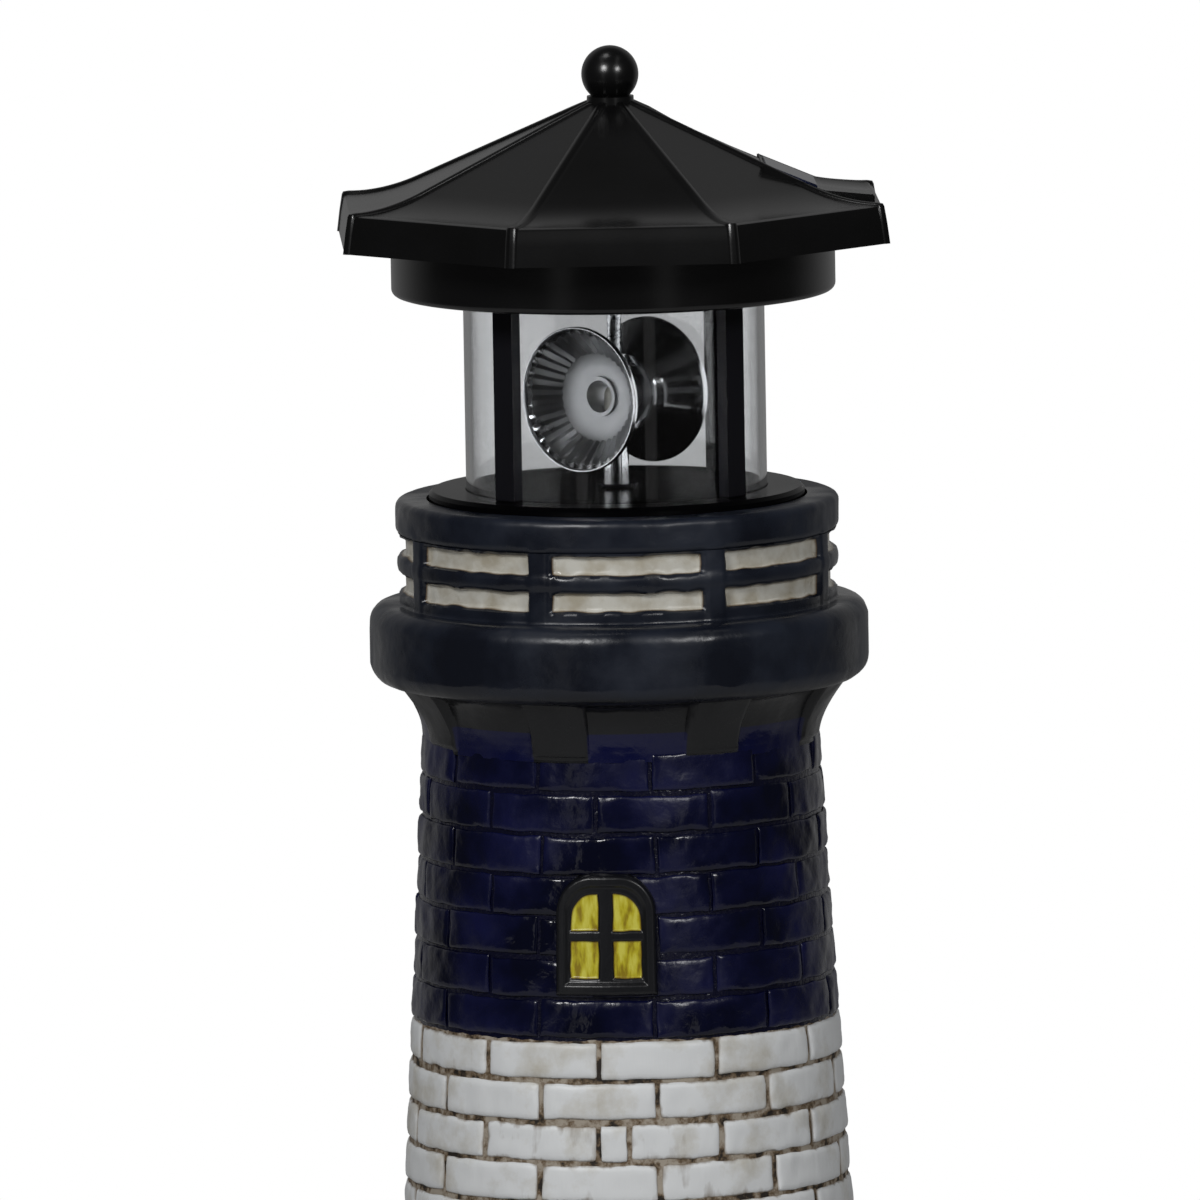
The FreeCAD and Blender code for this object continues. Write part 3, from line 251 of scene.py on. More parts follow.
def wall_radius(height):
    """Radius of the brick faces at a height."""
    return foot_radius - (height - foot_height) * (foot_radius - top_radius) / wall_height


def fine(points, step):
    """The points with more put in between, a step apart at most."""
    dense = []
    for (r0, z0), (r1, z1) in zip(points, points[1:]):
        count = max(1, math.ceil(math.hypot(r1 - r0, z1 - z0) / step))
        dense += [(r0 + (r1 - r0) * k / count, z0 + (z1 - z0) * k / count) for k in range(count)]
    return dense + [points[-1]]


def rounded(centre_r, centre_z, radius, start, end, steps=5):
    """Points of an arc in a section, angles in degrees."""
    angles = [math.radians(start + (end - start) * k / steps) for k in range(steps + 1)]
    return [(centre_r + radius * math.cos(a), centre_z + radius * math.sin(a)) for a in angles]


def unevenness(x, y, z, grain_mm, seed=0.0):
    """Hand-made unevenness between -1 and 1 with a grain in millimetres."""
    return noise.noise(Vector((x / grain_mm + seed, y / grain_mm, z / grain_mm)))


def skin(rings):
    """Faces between each ring of points and the next, the last joined to the first. One point is a pole."""
    faces = []
    for low, high in zip(rings, rings[1:] + rings[:1]):
        columns = max(len(low), len(high))
        for column in range(columns if columns > 1 else 0):
            after = (column + 1) % columns
            corners = [low[column % len(low)], low[after % len(low)]]
            corners += [high[after % len(high)], high[column % len(high)]]
            faces.append(list(dict.fromkeys(corners)))
    return faces


def turned(name, section, columns, material, shape=None, marks=None, crease=30.0):
    """Turns a closed section of (radius, height) in millimetres about the upright axis. shape(radius,
    height, angle) may move a point; marks(radius, height, angle) is kept as the attribute paint."""
    vertices, paints, rings = [], [], []
    for radius, height in section:
        pole = radius < 1e-6
        ring = []
        for column in range(1 if pole else columns):
            angle = 2 * math.pi * column / columns
            r, z = shape(radius, height, angle) if shape else (radius, height)
            ring.append(len(vertices))
            vertices.append((r * math.cos(angle) * MM, r * math.sin(angle) * MM, z * MM))
            paints.append(marks(radius, height, angle) if marks else 0.0)
        rings.append(ring)
    made = mesh_object(name, vertices, skin(rings), material, crease)
    if marks:
        made.data.attributes.new("paint", "FLOAT", "POINT").data.foreach_set("value", paints)
    return made


# Grey-brown mortar of painted resin: chalky, with dark dirt gathered along the joints
mortar_paint, tree, shader, where = new_material("stained_mortar_resin")
height = add(tree, "SeparateXYZ", {0: where}).outputs["Z"]
patches = add(tree, "TexNoise", {"Vector": where, "Scale": 240.0, "Detail": 5.0, "Roughness": 0.65})
stain = add(
    tree, "ValToRGB", {"Fac": patches}, stops=((0.40, "#1f160c"), (0.47, "#6b5943"), (0.57, "#a2988a"))
)
edge_noise = add(tree, "TexNoise", {"Vector": where, "Scale": 260.0, "Detail": 2.0})
wander = add(tree, "Math", {0: edge_noise, 1: 0.0016, 2: height}, operation="MULTIPLY_ADD")
above = add(tree, "Math", {0: wander, 1: (white_top + 0.6) * MM}, operation="GREATER_THAN")
below = add(tree, "Math", {0: wander, 1: (white_low + 0.6) * MM}, operation="LESS_THAN")
navy = add(tree, "Math", {0: above, 1: below}, operation="MAXIMUM")
mortar_colour = add(tree, "Mix", {0: navy, 6: stain, 7: linear("#070820")}, data_type="RGBA")
gloss = add(tree, "MapRange", {"Value": navy, "To Min": 0.75, "To Max": 0.22})
grit = add(tree, "TexNoise", {"Vector": where, "Scale": 900.0, "Detail": 4.0})
relief = add(tree, "Bump", {"Height": grit, "Strength": 0.6, "Distance": 0.0004})
fill(shader, {"Base Color": mortar_colour.outputs[2], "Roughness": gloss, "Normal": relief})

foot_steps = ((62.0, 10.0), (58.4, 20.0), (54.8, foot_height))
step_nose = 1.2
low_edge = 0.6
hollow_low_radius = 48.4
hollow_top_radius = 36.7
hollow_top = 203.8
core_top = corbel_low + 4
core_skin = 40.0
foot_limit = 61.95

core_line = [(hollow_low_radius, 0.0), (foot_steps[0][0] - low_edge, 0.0)]
core_line += rounded(foot_steps[0][0] - low_edge, low_edge, low_edge, -90, 0)
treads_end = [radius for radius, top in foot_steps[1:]] + [foot_radius - joint_depth]
for (radius, top), tread_end in zip(foot_steps, treads_end):
    core_line += rounded(radius - step_nose, top - step_nose, step_nose, 0, 90) + [(tread_end, top)]
core_line.append((wall_radius(core_top) - joint_depth, core_top))
core_section = fine(core_line, 1.1) + [(hollow_top_radius, core_top), (hollow_top_radius, hollow_top)]


def core_shape(radius, height, angle):
    """Hand-cast unevenness on the core's outside."""
    if radius < core_skin:
        return radius, height
    x, y = radius * math.cos(angle), radius * math.sin(angle)
    rough = 0.12 * unevenness(x, y, height, 5.0) + 0.05 * unevenness(x, y, height, 1.6, 7.0)
    return min(radius + rough, foot_limit), max(height, 0.0)


tower_core = turned("tower_core", core_section, 288, mortar_paint, core_shape)
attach(tower_core, "tower")
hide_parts("tower_casting")

# ----------------------------------------------------------------------
# Bricks: 21 courses of eleven bricks in running bond, carved in the pattern the casting came from.
# Each has soft worn edges, stands a little more or less proud, and is painted navy or antique white.
# ----------------------------------------------------------------------
bond_radius = 46.0
bricks_round = 11
brick_angle = 360.0 / bricks_round
joint_width = 0.85
first_joint = -97.8
split_course = 11
split_joint = first_joint + 8.2
edge_reach = 0.7
spread = random.Random(11)


def brick_courses_tree():
    """Instances one pillowed brick on each point (along, 0, height) and bends the courses round the tower."""
    tree = bpy.data.node_groups.new("brick_courses", "GeometryNodeTree")
    tree.interface.new_socket("Geometry", in_out="INPUT", socket_type="NodeSocketGeometry")
    for label, kind in (
        ("Relief", "NodeSocketFloat"),
        ("Sunk", "NodeSocketFloat"),
        ("Bond Radius", "NodeSocketFloat"),
        ("Foot Radius", "NodeSocketFloat"),
        ("Foot Height", "NodeSocketFloat"),
        ("Taper", "NodeSocketFloat"),
        ("Wear", "NodeSocketFloat"),
        ("Paint", "NodeSocketMaterial"),
    ):
        tree.interface.new_socket(label, in_out="INPUT", socket_type=kind)
    tree.interface.new_socket("Geometry", in_out="OUTPUT", socket_type="NodeSocketGeometry")
    given = add(tree, "NodeGroupInput").outputs
    block = add(
        tree, "GeometryNodeMeshCube", {"Size": (2, 2, 2), "Vertices X": 34, "Vertices Y": 2, "Vertices Z": 12}
    )
    at = add(tree, "SeparateXYZ", {0: add(tree, "GeometryNodeInputPosition")}).outputs
    reaches, falls = [], []
    for place, power in ((at[0], 22.0), (at[2], 7.0)):
        arc = add(tree, "Math", {0: place, 1: math.pi / 2}, operation="MULTIPLY")
        reaches.append(add(tree, "Math", {0: arc}, operation="SINE"))
        size = add(tree, "Math", {0: reaches[-1]}, operation="ABSOLUTE")
        curve = add(tree, "Math", {0: size, 1: power}, operation="POWER")
        left = add(tree, "Math", {0: 1.0, 1: curve}, operation="SUBTRACT")
        held = add(tree, "Math", {0: left, 1: 0.0}, operation="MAXIMUM")
        falls.append(add(tree, "Math", {0: held, 1: 0.5}, operation="POWER"))
    pillow = add(tree, "Math", {0: falls[0], 1: falls[1]}, operation="MULTIPLY")
    raised = add(tree, "Math", {0: pillow, 1: given["Relief"]}, operation="MULTIPLY")
    lowered = add(tree, "Math", {0: raised, 1: given["Sunk"]}, operation="SUBTRACT")
    outside = add(tree, "Math", {0: at[1], 1: 0.0}, operation="GREATER_THAN")
    back = add(tree, "Math", {0: given["Sunk"], 1: -1.5}, operation="MULTIPLY")
    out = add(tree, "Mix", {0: outside, 2: back, 3: lowered})
    cushion = add(tree, "CombineXYZ", {0: reaches[0], 1: out, 2: reaches[1]})
    brick = add(tree, "GeometryNodeSetPosition", {"Geometry": block.outputs["Mesh"], "Position": cushion})
    half_length, half_height, tilt = (
        add(tree, "GeometryNodeInputNamedAttribute", {"Name": label}, data_type="FLOAT")
        for label in ("half_length", "half_height", "tilt")
    )
    stretch = add(tree, "CombineXYZ", {0: half_length, 1: 1.0, 2: half_height})
    lean = add(tree, "CombineXYZ", {1: tilt})
    laid = add(
        tree,
        "GeometryNodeInstanceOnPoints",
        {"Points": given["Geometry"], "Instance": brick, "Scale": stretch, "Rotation": lean},
    )
    real = add(tree, "GeometryNodeRealizeInstances", {"Geometry": laid})
    spot = add(tree, "SeparateXYZ", {0: add(tree, "GeometryNodeInputPosition")}).outputs
    angle = add(tree, "Math", {0: spot[0], 1: given["Bond Radius"]}, operation="DIVIDE")
    rise = add(tree, "Math", {0: spot[2], 1: given["Foot Height"]}, operation="SUBTRACT")
    shrink = add(tree, "Math", {0: rise, 1: given["Taper"]}, operation="MULTIPLY")
    face = add(tree, "Math", {0: given["Foot Radius"], 1: shrink}, operation="SUBTRACT")
    radius = add(tree, "Math", {0: face, 1: spot[1]}, operation="ADD")
    east = add(tree, "Math", {0: angle}, operation="COSINE")
    north = add(tree, "Math", {0: angle}, operation="SINE")
    x = add(tree, "Math", {0: radius, 1: east}, operation="MULTIPLY")
    y = add(tree, "Math", {0: radius, 1: north}, operation="MULTIPLY")
    bent = add(tree, "CombineXYZ", {0: x, 1: y, 2: spot[2]})
    wall = add(tree, "GeometryNodeSetPosition", {"Geometry": real, "Position": bent})
    broad = add(tree, "TexNoise", {"Scale": 210.0, "Detail": 3.0})
    centred = add(tree, "VectorMath", {0: broad.outputs["Color"], 1: (0.5, 0.5, 0.5)}, operation="SUBTRACT")
    worn = add(tree, "VectorMath", {0: centred, "Scale": given["Wear"]}, operation="SCALE")
    aged = add(tree, "GeometryNodeSetPosition", {"Geometry": wall, "Offset": worn})
    soft = add(tree, "GeometryNodeSetShadeSmooth", {0: aged})
    painted = add(tree, "GeometryNodeSetMaterial", {"Geometry": soft, "Material": given["Paint"]})
    add(tree, "NodeGroupOutput", {"Geometry": painted})
    return tree


# Antique white acrylic over resin: eggshell, with brown washes, browned towards the brick edges partly as
# stain and partly as painted shade where they round down into the joints
white_paint, tree, shader, where = new_material("antique_white_acrylic")
cloud = add(tree, "TexNoise", {"Vector": where, "Scale": 70.0, "Detail": 6.0, "Roughness": 0.6})
streaks = add(tree, "Mapping", {"Vector": where, "Scale": (420.0, 420.0, 90.0)})
brushed = add(tree, "TexNoise", {"Vector": streaks, "Scale": 1.0, "Detail": 4.0})
wash = add(tree, "ValToRGB", {"Fac": cloud}, stops=((0.30, "#c0bcb1"), (0.50, "#dfe1e2")))
# Brown towards the brick edges: part brown stain, part painted shade where the edges round into the joints
edge_stain_and_shade = add(tree, "Attribute", attribute_name="edge")
stain_and_edge_shade = add(tree, "Math", {0: brushed, 1: 1.3, 2: edge_stain_and_shade.outputs["Fac"]}, operation="MULTIPLY_ADD")
stain_and_edge_shade_mask = add(tree, "MapRange", {"Value": stain_and_edge_shade, "From Min": 0.92, "From Max": 1.45, "To Max": 0.9})
mixed = add(tree, "Mix", {0: stain_and_edge_shade_mask, 6: wash, 7: linear("#6d5a40")}, data_type="RGBA")
sheen_spread = add(tree, "MapRange", {"Value": brushed, "To Min": 0.36, "To Max": 0.56})
relief = add(tree, "Bump", {"Height": brushed, "Strength": 0.35, "Distance": 0.0003})
fill(shader, {"Base Color": mixed.outputs[2], "Roughness": sheen_spread, "Normal": relief})

# Navy gloss acrylic over resin: almost black, bluer where it lies thick, with wet-looking highlights
navy_paint, tree, shader, where = new_material("navy_gloss_acrylic")
cloud = add(tree, "TexNoise", {"Vector": where, "Scale": 55.0, "Detail": 4.0})
depth_of_blue = add(tree, "ValToRGB", {"Fac": cloud}, stops=((0.40, "#04061a"), (0.66, "#070b38")))
ripple = add(tree, "TexNoise", {"Vector": where, "Scale": 330.0, "Detail": 3.0})
gloss = add(
    tree, "MapRange", {"Value": cloud, "From Min": 0.40, "From Max": 0.60, "To Min": 0.10, "To Max": 0.34}
)
relief = add(tree, "Bump", {"Height": ripple, "Strength": 0.35, "Distance": 0.0006})
fill(shader, {"Base Color": depth_of_blue, "Roughness": gloss, "Normal": relief})

course_tree = brick_courses_tree()
sockets = {item.name: item.identifier for item in course_tree.interface.items_tree if item.in_out == "INPUT"}


def lay_bricks(name, first_course, last_course, paint, relief, wear):
    """Lays a band of courses as one mesh. Its attribute edge says how near a point is to its brick's edge."""
    points, lengths, heights, tilts = [], [], [], []
    for course in range(first_course, last_course + 1):
        low = foot_height + course_height * course
        joints = [
            first_joint + brick_angle / 2 * (course % 2 == 0) + brick_angle * k + spread.uniform(-1.0, 1.0)
            for k in range(bricks_round)
        ]
        if course == split_course:
            joints.append(split_joint)
            joints.sort()
        for left, right in zip(joints, joints[1:] + [joints[0] + 360.0]):
            middle = math.radians((left + right) / 2)
            half = math.radians(right - left) / 2 * bond_radius - joint_width / 2
            out = spread.uniform(-0.25, 0.15)
            up = low + course_height / 2 + spread.uniform(-0.2, 0.2)
            points.append((middle * bond_radius * MM, out * MM, up * MM))
            lengths.append(half * MM)
            heights.append((course_height / 2 - joint_width / 2 + spread.uniform(-0.15, 0.15)) * MM)
            tilts.append(math.radians(spread.uniform(-0.7, 0.7)))
    mesh = bpy.data.meshes.new(name + "_layout")
    mesh.from_pydata(points, [], [])
    for label, values in (("half_length", lengths), ("half_height", heights), ("tilt", tilts)):
        mesh.attributes.new(label, "FLOAT", "POINT").data.foreach_set("value", values)
    layout = stand(name + "_layout", mesh)
    courses = layout.modifiers.new("courses", "NODES")
    courses.node_group = course_tree
    for label, value in (
        ("Relief", relief * MM),
        ("Sunk", (relief - 0.15) * MM),
        ("Bond Radius", bond_radius * MM),
        ("Foot Radius", foot_radius * MM),
        ("Foot Height", foot_height * MM),
        ("Taper", (foot_radius - top_radius) / wall_height),
        ("Wear", wear * MM),
        ("Paint", paint),
    ):
        courses[sockets[label]] = value
    bpy.context.view_layer.update()
    shaped = bpy.data.meshes.new_from_object(layout.evaluated_get(bpy.context.evaluated_depsgraph_get()))
    shaped.name = name
    bpy.data.objects.remove(layout)
    edges = []
    for vertex in shaped.vertices:
        x, y, z = vertex.co
        proud = math.hypot(x, y) / MM - wall_radius(z / MM)
        edges.append(min(1.0, max(0.0, -proud / edge_reach)))
    shaped.attributes.new("edge", "FLOAT", "POINT").data.foreach_set("value", edges)
    made = stand(name, shaped)
    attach(made, "tower")
    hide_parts("tower_casting")


lay_bricks("bricks_lower_navy", 0, 6, navy_paint, 0.50, 1.15)
lay_bricks("bricks_white", 7, 13, white_paint, 0.95, 0.85)
lay_bricks("bricks_upper_navy", 14, 20, navy_paint, 0.50, 1.15)

# ----------------------------------------------------------------------
# Gallery: corbel with hanging blocks, balcony ring, panelled parapet and the rim of the lamp well. Part
# of the same casting, in a satin charcoal navy, its sunk panels picked out in cream with a brush.
# ----------------------------------------------------------------------
balcony_low = 221.2
balcony_top = 238.2
rim_low = 253.2
rim_top = 260.2
rail_radius = 46.0
panel_depth = 1.5
panel_rows = ((240.7, 244.9), (248.4, 252.7))
panels_low = 239.5
panels_top = 254.0
baluster_half = 2.6
dentil_half = 6.5
dentil_radius = 43.0
dentils = (-107.8, -62.9, -18.0, 27.2, 72.1, 117.0, 162.0, 206.9)
balusters = (-111.3, -63.9, -20.2, 24.6, 69.4, 114.7, 159.3, 204.1)
dentil_low = 209.6
corbel_edge = 214.9
middle_rail = 247.0
middle_rail_half = 1.8
outer_skin = 40.5
parapet_skin = 45.0
widest = 52.4
shade_top = 224.0
shade_low = 221.5

# Charcoal navy satin acrylic, thinner on raised edges, with painted shade darkening the corbel and hanging
# blocks under the balcony; cream acrylic in the panels, browned at their ends
gallery_paint, tree, shader, where = new_material("charcoal_satin_acrylic")
cloud = add(tree, "TexNoise", {"Vector": where, "Scale": 60.0, "Detail": 4.0})
charcoal = add(tree, "ValToRGB", {"Fac": cloud}, stops=((0.38, "#11141d"), (0.66, "#1a202d")))
blot = add(tree, "TexNoise", {"Vector": where, "Scale": 240.0, "Detail": 4.0})
cream = add(tree, "ValToRGB", {"Fac": blot}, stops=((0.28, "#b0a998"), (0.62, "#cdcbc2")))
paint_mark = add(tree, "Attribute", attribute_name="paint")
ragged = add(tree, "Math", {0: blot, 1: 0.35, 2: paint_mark.outputs["Fac"]}, operation="MULTIPLY_ADD")
in_panel = add(tree, "MapRange", {"Value": ragged, "From Min": 0.60, "From Max": 0.68})
# Cream turning brown towards the panel edges
browned_panel_edges = add(
    tree, "MapRange", {"Value": ragged, "From Min": 0.68, "From Max": 0.98, "To Min": 1.0, "To Max": 0.0}
)
edged = add(tree, "Mix", {0: browned_panel_edges, 6: cream, 7: linear("#5e4a30")}, data_type="RGBA")
coloured = add(tree, "Mix", {0: in_panel, 6: charcoal, 7: edged.outputs[2]}, data_type="RGBA")
under = add(tree, "MapRange", {"Value": paint_mark.outputs["Fac"], "From Min": -0.35, "From Max": -0.65})
# Painted shade: below the balcony the charcoal turns almost black
level_here = add(tree, "SeparateXYZ", {0: where}).outputs["Z"]
painted_shade_under_balcony = add(
    tree, "MapRange", {"Value": level_here, "From Min": shade_top * MM, "From Max": shade_low * MM}
)
shaded = add(tree, "Mix", {0: painted_shade_under_balcony, 6: coloured.outputs[2], 7: linear("#0e0f12")}, data_type="RGBA")
with_navy = add(tree, "Mix", {0: under, 6: shaded.outputs[2], 7: linear("#060a34")}, data_type="RGBA")
gloss = add(
    tree, "MapRange", {"Value": cloud, "From Min": 0.38, "From Max": 0.62, "To Min": 0.18, "To Max": 0.42}
)
relief = add(tree, "Bump", {"Height": blot, "Strength": 0.35, "Distance": 0.0005})
fill(shader, {"Base Color": with_navy.outputs[2], "Roughness": gloss, "Normal": relief})


def smooth(value, low, high):
    """0 below low, 1 above high, eased between."""
    t = min(1.0, max(0.0, (value - low) / (high - low)))
    return t * t * (3 - 2 * t)


def offset(angle, middles, radius):
    """Millimetres round the tower from the nearest of some angles."""
    turns = [(math.degrees(angle) - middle + 180.0) % 360.0 - 180.0 for middle in middles]
    return abs(math.radians(min(turns, key=abs))) * radius


def panel_mark(radius, height, angle):
    """How deep a point lies in a panel of the parapet, 0 to 1, or between the hanging blocks, 0 to -1."""
    if radius > outer_skin and height < corbel_edge + 2:
        between = 1 - smooth(dentil_half - offset(angle, dentils, dentil_radius), 0.0, 0.7)
        return -between * (1 - smooth(height, corbel_edge - 0.4, corbel_edge + 0.4))
    if radius < parapet_skin or not panels_low < height < panels_top:
        return 0.0
    x, y = radius * math.cos(angle), radius * math.sin(angle)
    slip = 0.35 * unevenness(x, y, height, 4.0, 3.0)
    best = 0.0
    for low, high in panel_rows:
        middle, half = (low + high) / 2, (high - low) / 2
        across = half - abs(height - middle) + slip
        along = offset(angle, balusters, rail_radius) - baluster_half + slip * 1.6
        best = max(best, smooth(min(across, along), -0.25, 0.55))
    return best


def gallery_shape(radius, height, angle):
    """Sinks the panels, hangs the blocks under the corbel and gives every face a hand-made unevenness."""
    x, y = radius * math.cos(angle), radius * math.sin(angle)
    if radius > outer_skin:
        if balcony_top < height < rim_low + 0.6 and radius > parapet_skin:
            rail = min(abs(height - middle_rail) / middle_rail_half, 1.0)
            radius += 0.35 * (1 - rail * rail)
            radius -= panel_depth * panel_mark(radius, height, angle)
            from_baluster = offset(angle, balusters, rail_radius)
            radius += 0.25 * (1 - smooth(from_baluster, baluster_half - 1, baluster_half))
        if height < balcony_low + 0.5:
            hanging = smooth(dentil_half - offset(angle, dentils, dentil_radius), 0.0, 0.7)
            block = 42.4 + 5.4 * max(0.0, (height - dentil_low) / (balcony_low - dentil_low)) ** 1.7
            under = smooth(height, dentil_low, dentil_low + 0.8)
            radius = max(radius, radius + (block - radius) * hanging * under)
        radius += 0.24 * unevenness(x, y, height, 9.0, 5.0) + 0.10 * unevenness(x, y, height, 3.2, 1.0)
    return min(radius, widest), height


cove = [
    (41.62 + 6.0 * (1 - math.cos(t)), corbel_low + 12.7 * math.sin(t))
    for t in [math.radians(90 * k / 12) for k in range(13)]
]
gallery_section = fine(
    [
        (36.0, dentil_low - 0.6),
        (wall_radius(dentil_low) - 0.9, dentil_low - 0.6),
        (wall_radius(corbel_low) - 0.6, corbel_low - 0.2),
    ]
    + cove
    + rounded(47.9, 226.1, 4.5, -86, 0, 9)
    + rounded(48.6, 234.4, 3.8, 0, 90, 8)
    + [(46.2, 238.25)]
    + [(rail_radius, 238.5), (rail_radius, rim_low)]
    + rounded(44.6, 254.7, 1.9, -75, 0, 5)
    + rounded(44.9, 258.6, 1.6, 0, 90, 6)
    + [(40.0, rim_top)],
    0.5,
) + [(40.0, 258.0), (34.6, 258.0), (34.6, 206.3)]
gallery = turned("gallery", gallery_section, 512, gallery_paint, gallery_shape, panel_mark, 50.0)
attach(gallery, "tower")
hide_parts("tower_casting")

# ----------------------------------------------------------------------
# Window: an arched black frame with a cross of bars, cast on the wall and bent with it. The four panes
# are brushed with yellow enamel over ochre, as if a light were on inside.
# ----------------------------------------------------------------------
window_azimuth = -95.0
window_half_width = 11.2
window_sill = 159.9
window_top = 186.1
window_middle = (window_sill + window_top) / 2
corner_bend = 8.5
wall_lean = 0.0565
pane_half_width = 7.6
pane_low = window_sill + 3.9
pane_top = window_top - 4.3
pane_bend = 5.6
upright_half = 1.45
cross_half = 0.95
window_radius = wall_radius(window_middle) + 1.5

window_paint, tree, shader, where = new_material("window_enamel")
stroke_places = add(tree, "Mapping", {"Vector": where, "Scale": (700.0, 700.0, 190.0)})
strokes = add(tree, "TexNoise", {"Vector": stroke_places, "Scale": 1.0, "Detail": 3.0})
yellow = add(
    tree, "ValToRGB", {"Fac": strokes}, stops=((0.34, "#8f7a14"), (0.48, "#bcb026"), (0.62, "#d2cb52"))
)
paint_mark = add(tree, "Attribute", attribute_name="paint")
edge_brown = add(
    tree,
    "MapRange",
    {"Value": paint_mark.outputs["Fac"], "From Min": 0.55, "From Max": 0.95, "To Min": 0.9, "To Max": 0.0},
)
bordered = add(tree, "Mix", {0: edge_brown, 6: yellow, 7: linear("#5b3d10")}, data_type="RGBA")
in_pane = add(tree, "MapRange", {"Value": paint_mark.outputs["Fac"], "From Min": 0.45, "From Max": 0.60})
window_colour = add(tree, "Mix", {0: in_pane, 6: linear("#0e0f13"), 7: bordered.outputs[2]}, data_type="RGBA")
relief = add(tree, "Bump", {"Height": strokes, "Strength": 0.3, "Distance": 0.0003})
fill(shader, {"Base Color": window_colour.outputs[2], "Roughness": 0.32, "Normal": relief})


def arch_inside(across, height, half_width, low, high, bend):
    """Distance inside an upright shape with two rounded top corners; negative outside."""
    corner_x, corner_z = half_width - bend, high - bend
    side = min(half_width - abs(across), height - low, high - height)
    if abs(across) > corner_x and height > corner_z:
        side = min(side, bend - math.hypot(abs(across) - corner_x, height - corner_z))
    return side


def window_relief(across, height):
    """(how proud, how much in a pane) at a point of the window."""
    wobble = 0.25 * unevenness(across, height, 0.0, 3.5, 9.0)
    outer = arch_inside(across, height, window_half_width, window_sill, window_top, corner_bend)
    pane_shape = arch_inside(across, height, pane_half_width, pane_low, pane_top, pane_bend)
    bars = min(abs(across) - upright_half, abs(height - window_middle + 0.2) - cross_half)
    pane = smooth(min(pane_shape, bars) + wobble, -0.3, 0.5)
    ridge = smooth(outer, 0.3, 1.3) * (1 - smooth(outer, 2.4, 3.4))
    proud = -2.2 + 1.9 * smooth(outer + wobble * 0.4, 0.0, 0.7) + 0.7 * ridge
    return proud - 0.55 * pane, pane


columns, rows = 118, 126
vertices, faces, paints = [], [], []
for sunk in (False, True):
    for row in range(rows + 1):
        height = window_sill + (window_top - window_sill) * row / rows
        for column in range(columns + 1):
            across = window_half_width * (2 * column / columns - 1)
            height_here = height
            out_x, out_z = abs(across) - window_half_width + corner_bend, height - window_top + corner_bend
            over = math.hypot(out_x, out_z) / corner_bend
            if min(out_x, out_z) > 0 and over > 1:
                across = math.copysign(window_half_width - corner_bend + out_x / over, across)
                height_here = window_top - corner_bend + out_z / over
            proud, pane = window_relief(across, height_here)
            radius = window_radius + (-3.2 if sunk else proud) + (window_middle - height_here) * wall_lean
            angle = math.radians(window_azimuth) + across / window_radius
            vertices.append((radius * math.cos(angle) * MM, radius * math.sin(angle) * MM, height_here * MM))
            paints.append(pane)
wide = columns + 1
layer = wide * (rows + 1)
for row in range(rows):
    for column in range(columns):
        a = row * wide + column
        b = a + wide
        faces.append((a, a + 1, b + 1, b))
        faces.append((layer + a, layer + b, layer + b + 1, layer + a + 1))
border = [*range(columns), *range(columns, layer - 1, wide)]
border += [*range(layer - 1, layer - wide, -1), *range(layer - wide, 0, -wide)]
for a, b in zip(border, border[1:] + border[:1]):
    faces.append((b, a, layer + a, layer + b))
window = mesh_object("window", vertices, faces, window_paint, 40.0)
window.data.attributes.new("paint", "FLOAT", "POINT").data.foreach_set("value", paints)
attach(window, "tower")
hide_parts("tower_casting")

# ----------------------------------------------------------------------
# Roof: an eight-sided ABS moulding with a raised rib on each ridge, a flared eave and an upright fascia
# with a thin bead at each corner. Moulded in black, with a fine spark-eroded grain.
# ----------------------------------------------------------------------
roof_turn = math.radians(24.5)
roof_low = 314.6

# Black ABS as moulded: deep black with a soft grey sheen from its fine tool grain
black_abs, tree, shader, where = new_material("black_moulded_abs")
tool_grain = add(tree, "TexNoise", {"Vector": where, "Scale": 1800.0, "Detail": 2.0})
handling = add(tree, "TexNoise", {"Vector": where, "Scale": 45.0, "Detail": 5.0})
dust = add(tree, "ValToRGB", {"Fac": handling}, stops=((0.35, "#070707"), (0.75, "#0d0d0e")))
gloss = add(tree, "MapRange", {"Value": handling, "To Min": 0.19, "To Max": 0.27})
relief = add(tree, "Bump", {"Height": tool_grain, "Strength": 0.12, "Distance": 0.0001})
fill(shader, {"Base Color": dust, "Roughness": gloss, "IOR": 1.54, "Normal": relief})


def bezier(p0, p1, p2, count):
    """Points of a soft curve from p0 to p2 pulled towards p1."""
    made = []
    for k in range(count + 1):
        t = k / count
        made.append(tuple((1 - t) ** 2 * a + 2 * t * (1 - t) * b + t * t * c for a, b, c in zip(p0, p1, p2)))
    return made


ridge_line = (
    [(61.5, roof_low), (60.9, 319.0), (60.3, 321.9), (60.0, 322.35), (59.3, 322.55)]
    + bezier((59.3, 322.55), (51.5, 322.7), (43.5, 326.2), 12)[1:]
    + [(43.5 - 3.85 * k, 326.2 + 1.68 * k) for k in range(1, 11)]
)
under_line = [(4.9, 341.4), (23.0, 333.4), (43.4, 324.5), (53.6, 321.3), (58.2, 320.3), (59.5, roof_low)]
eighth = math.pi / 8
eave_low = 320.5
eave_top = 322.4
far_ridge_sag = 1.5
rib_half = 1.35
rib_height = 0.6


def rib_rise(distance):
    """Height of the rib over a ridge, from the distance across it."""
    if abs(distance) >= rib_half:
        return 0.0
    return rib_height * max(0.0, 1 - (abs(distance) / rib_half) ** 3) ** 0.6


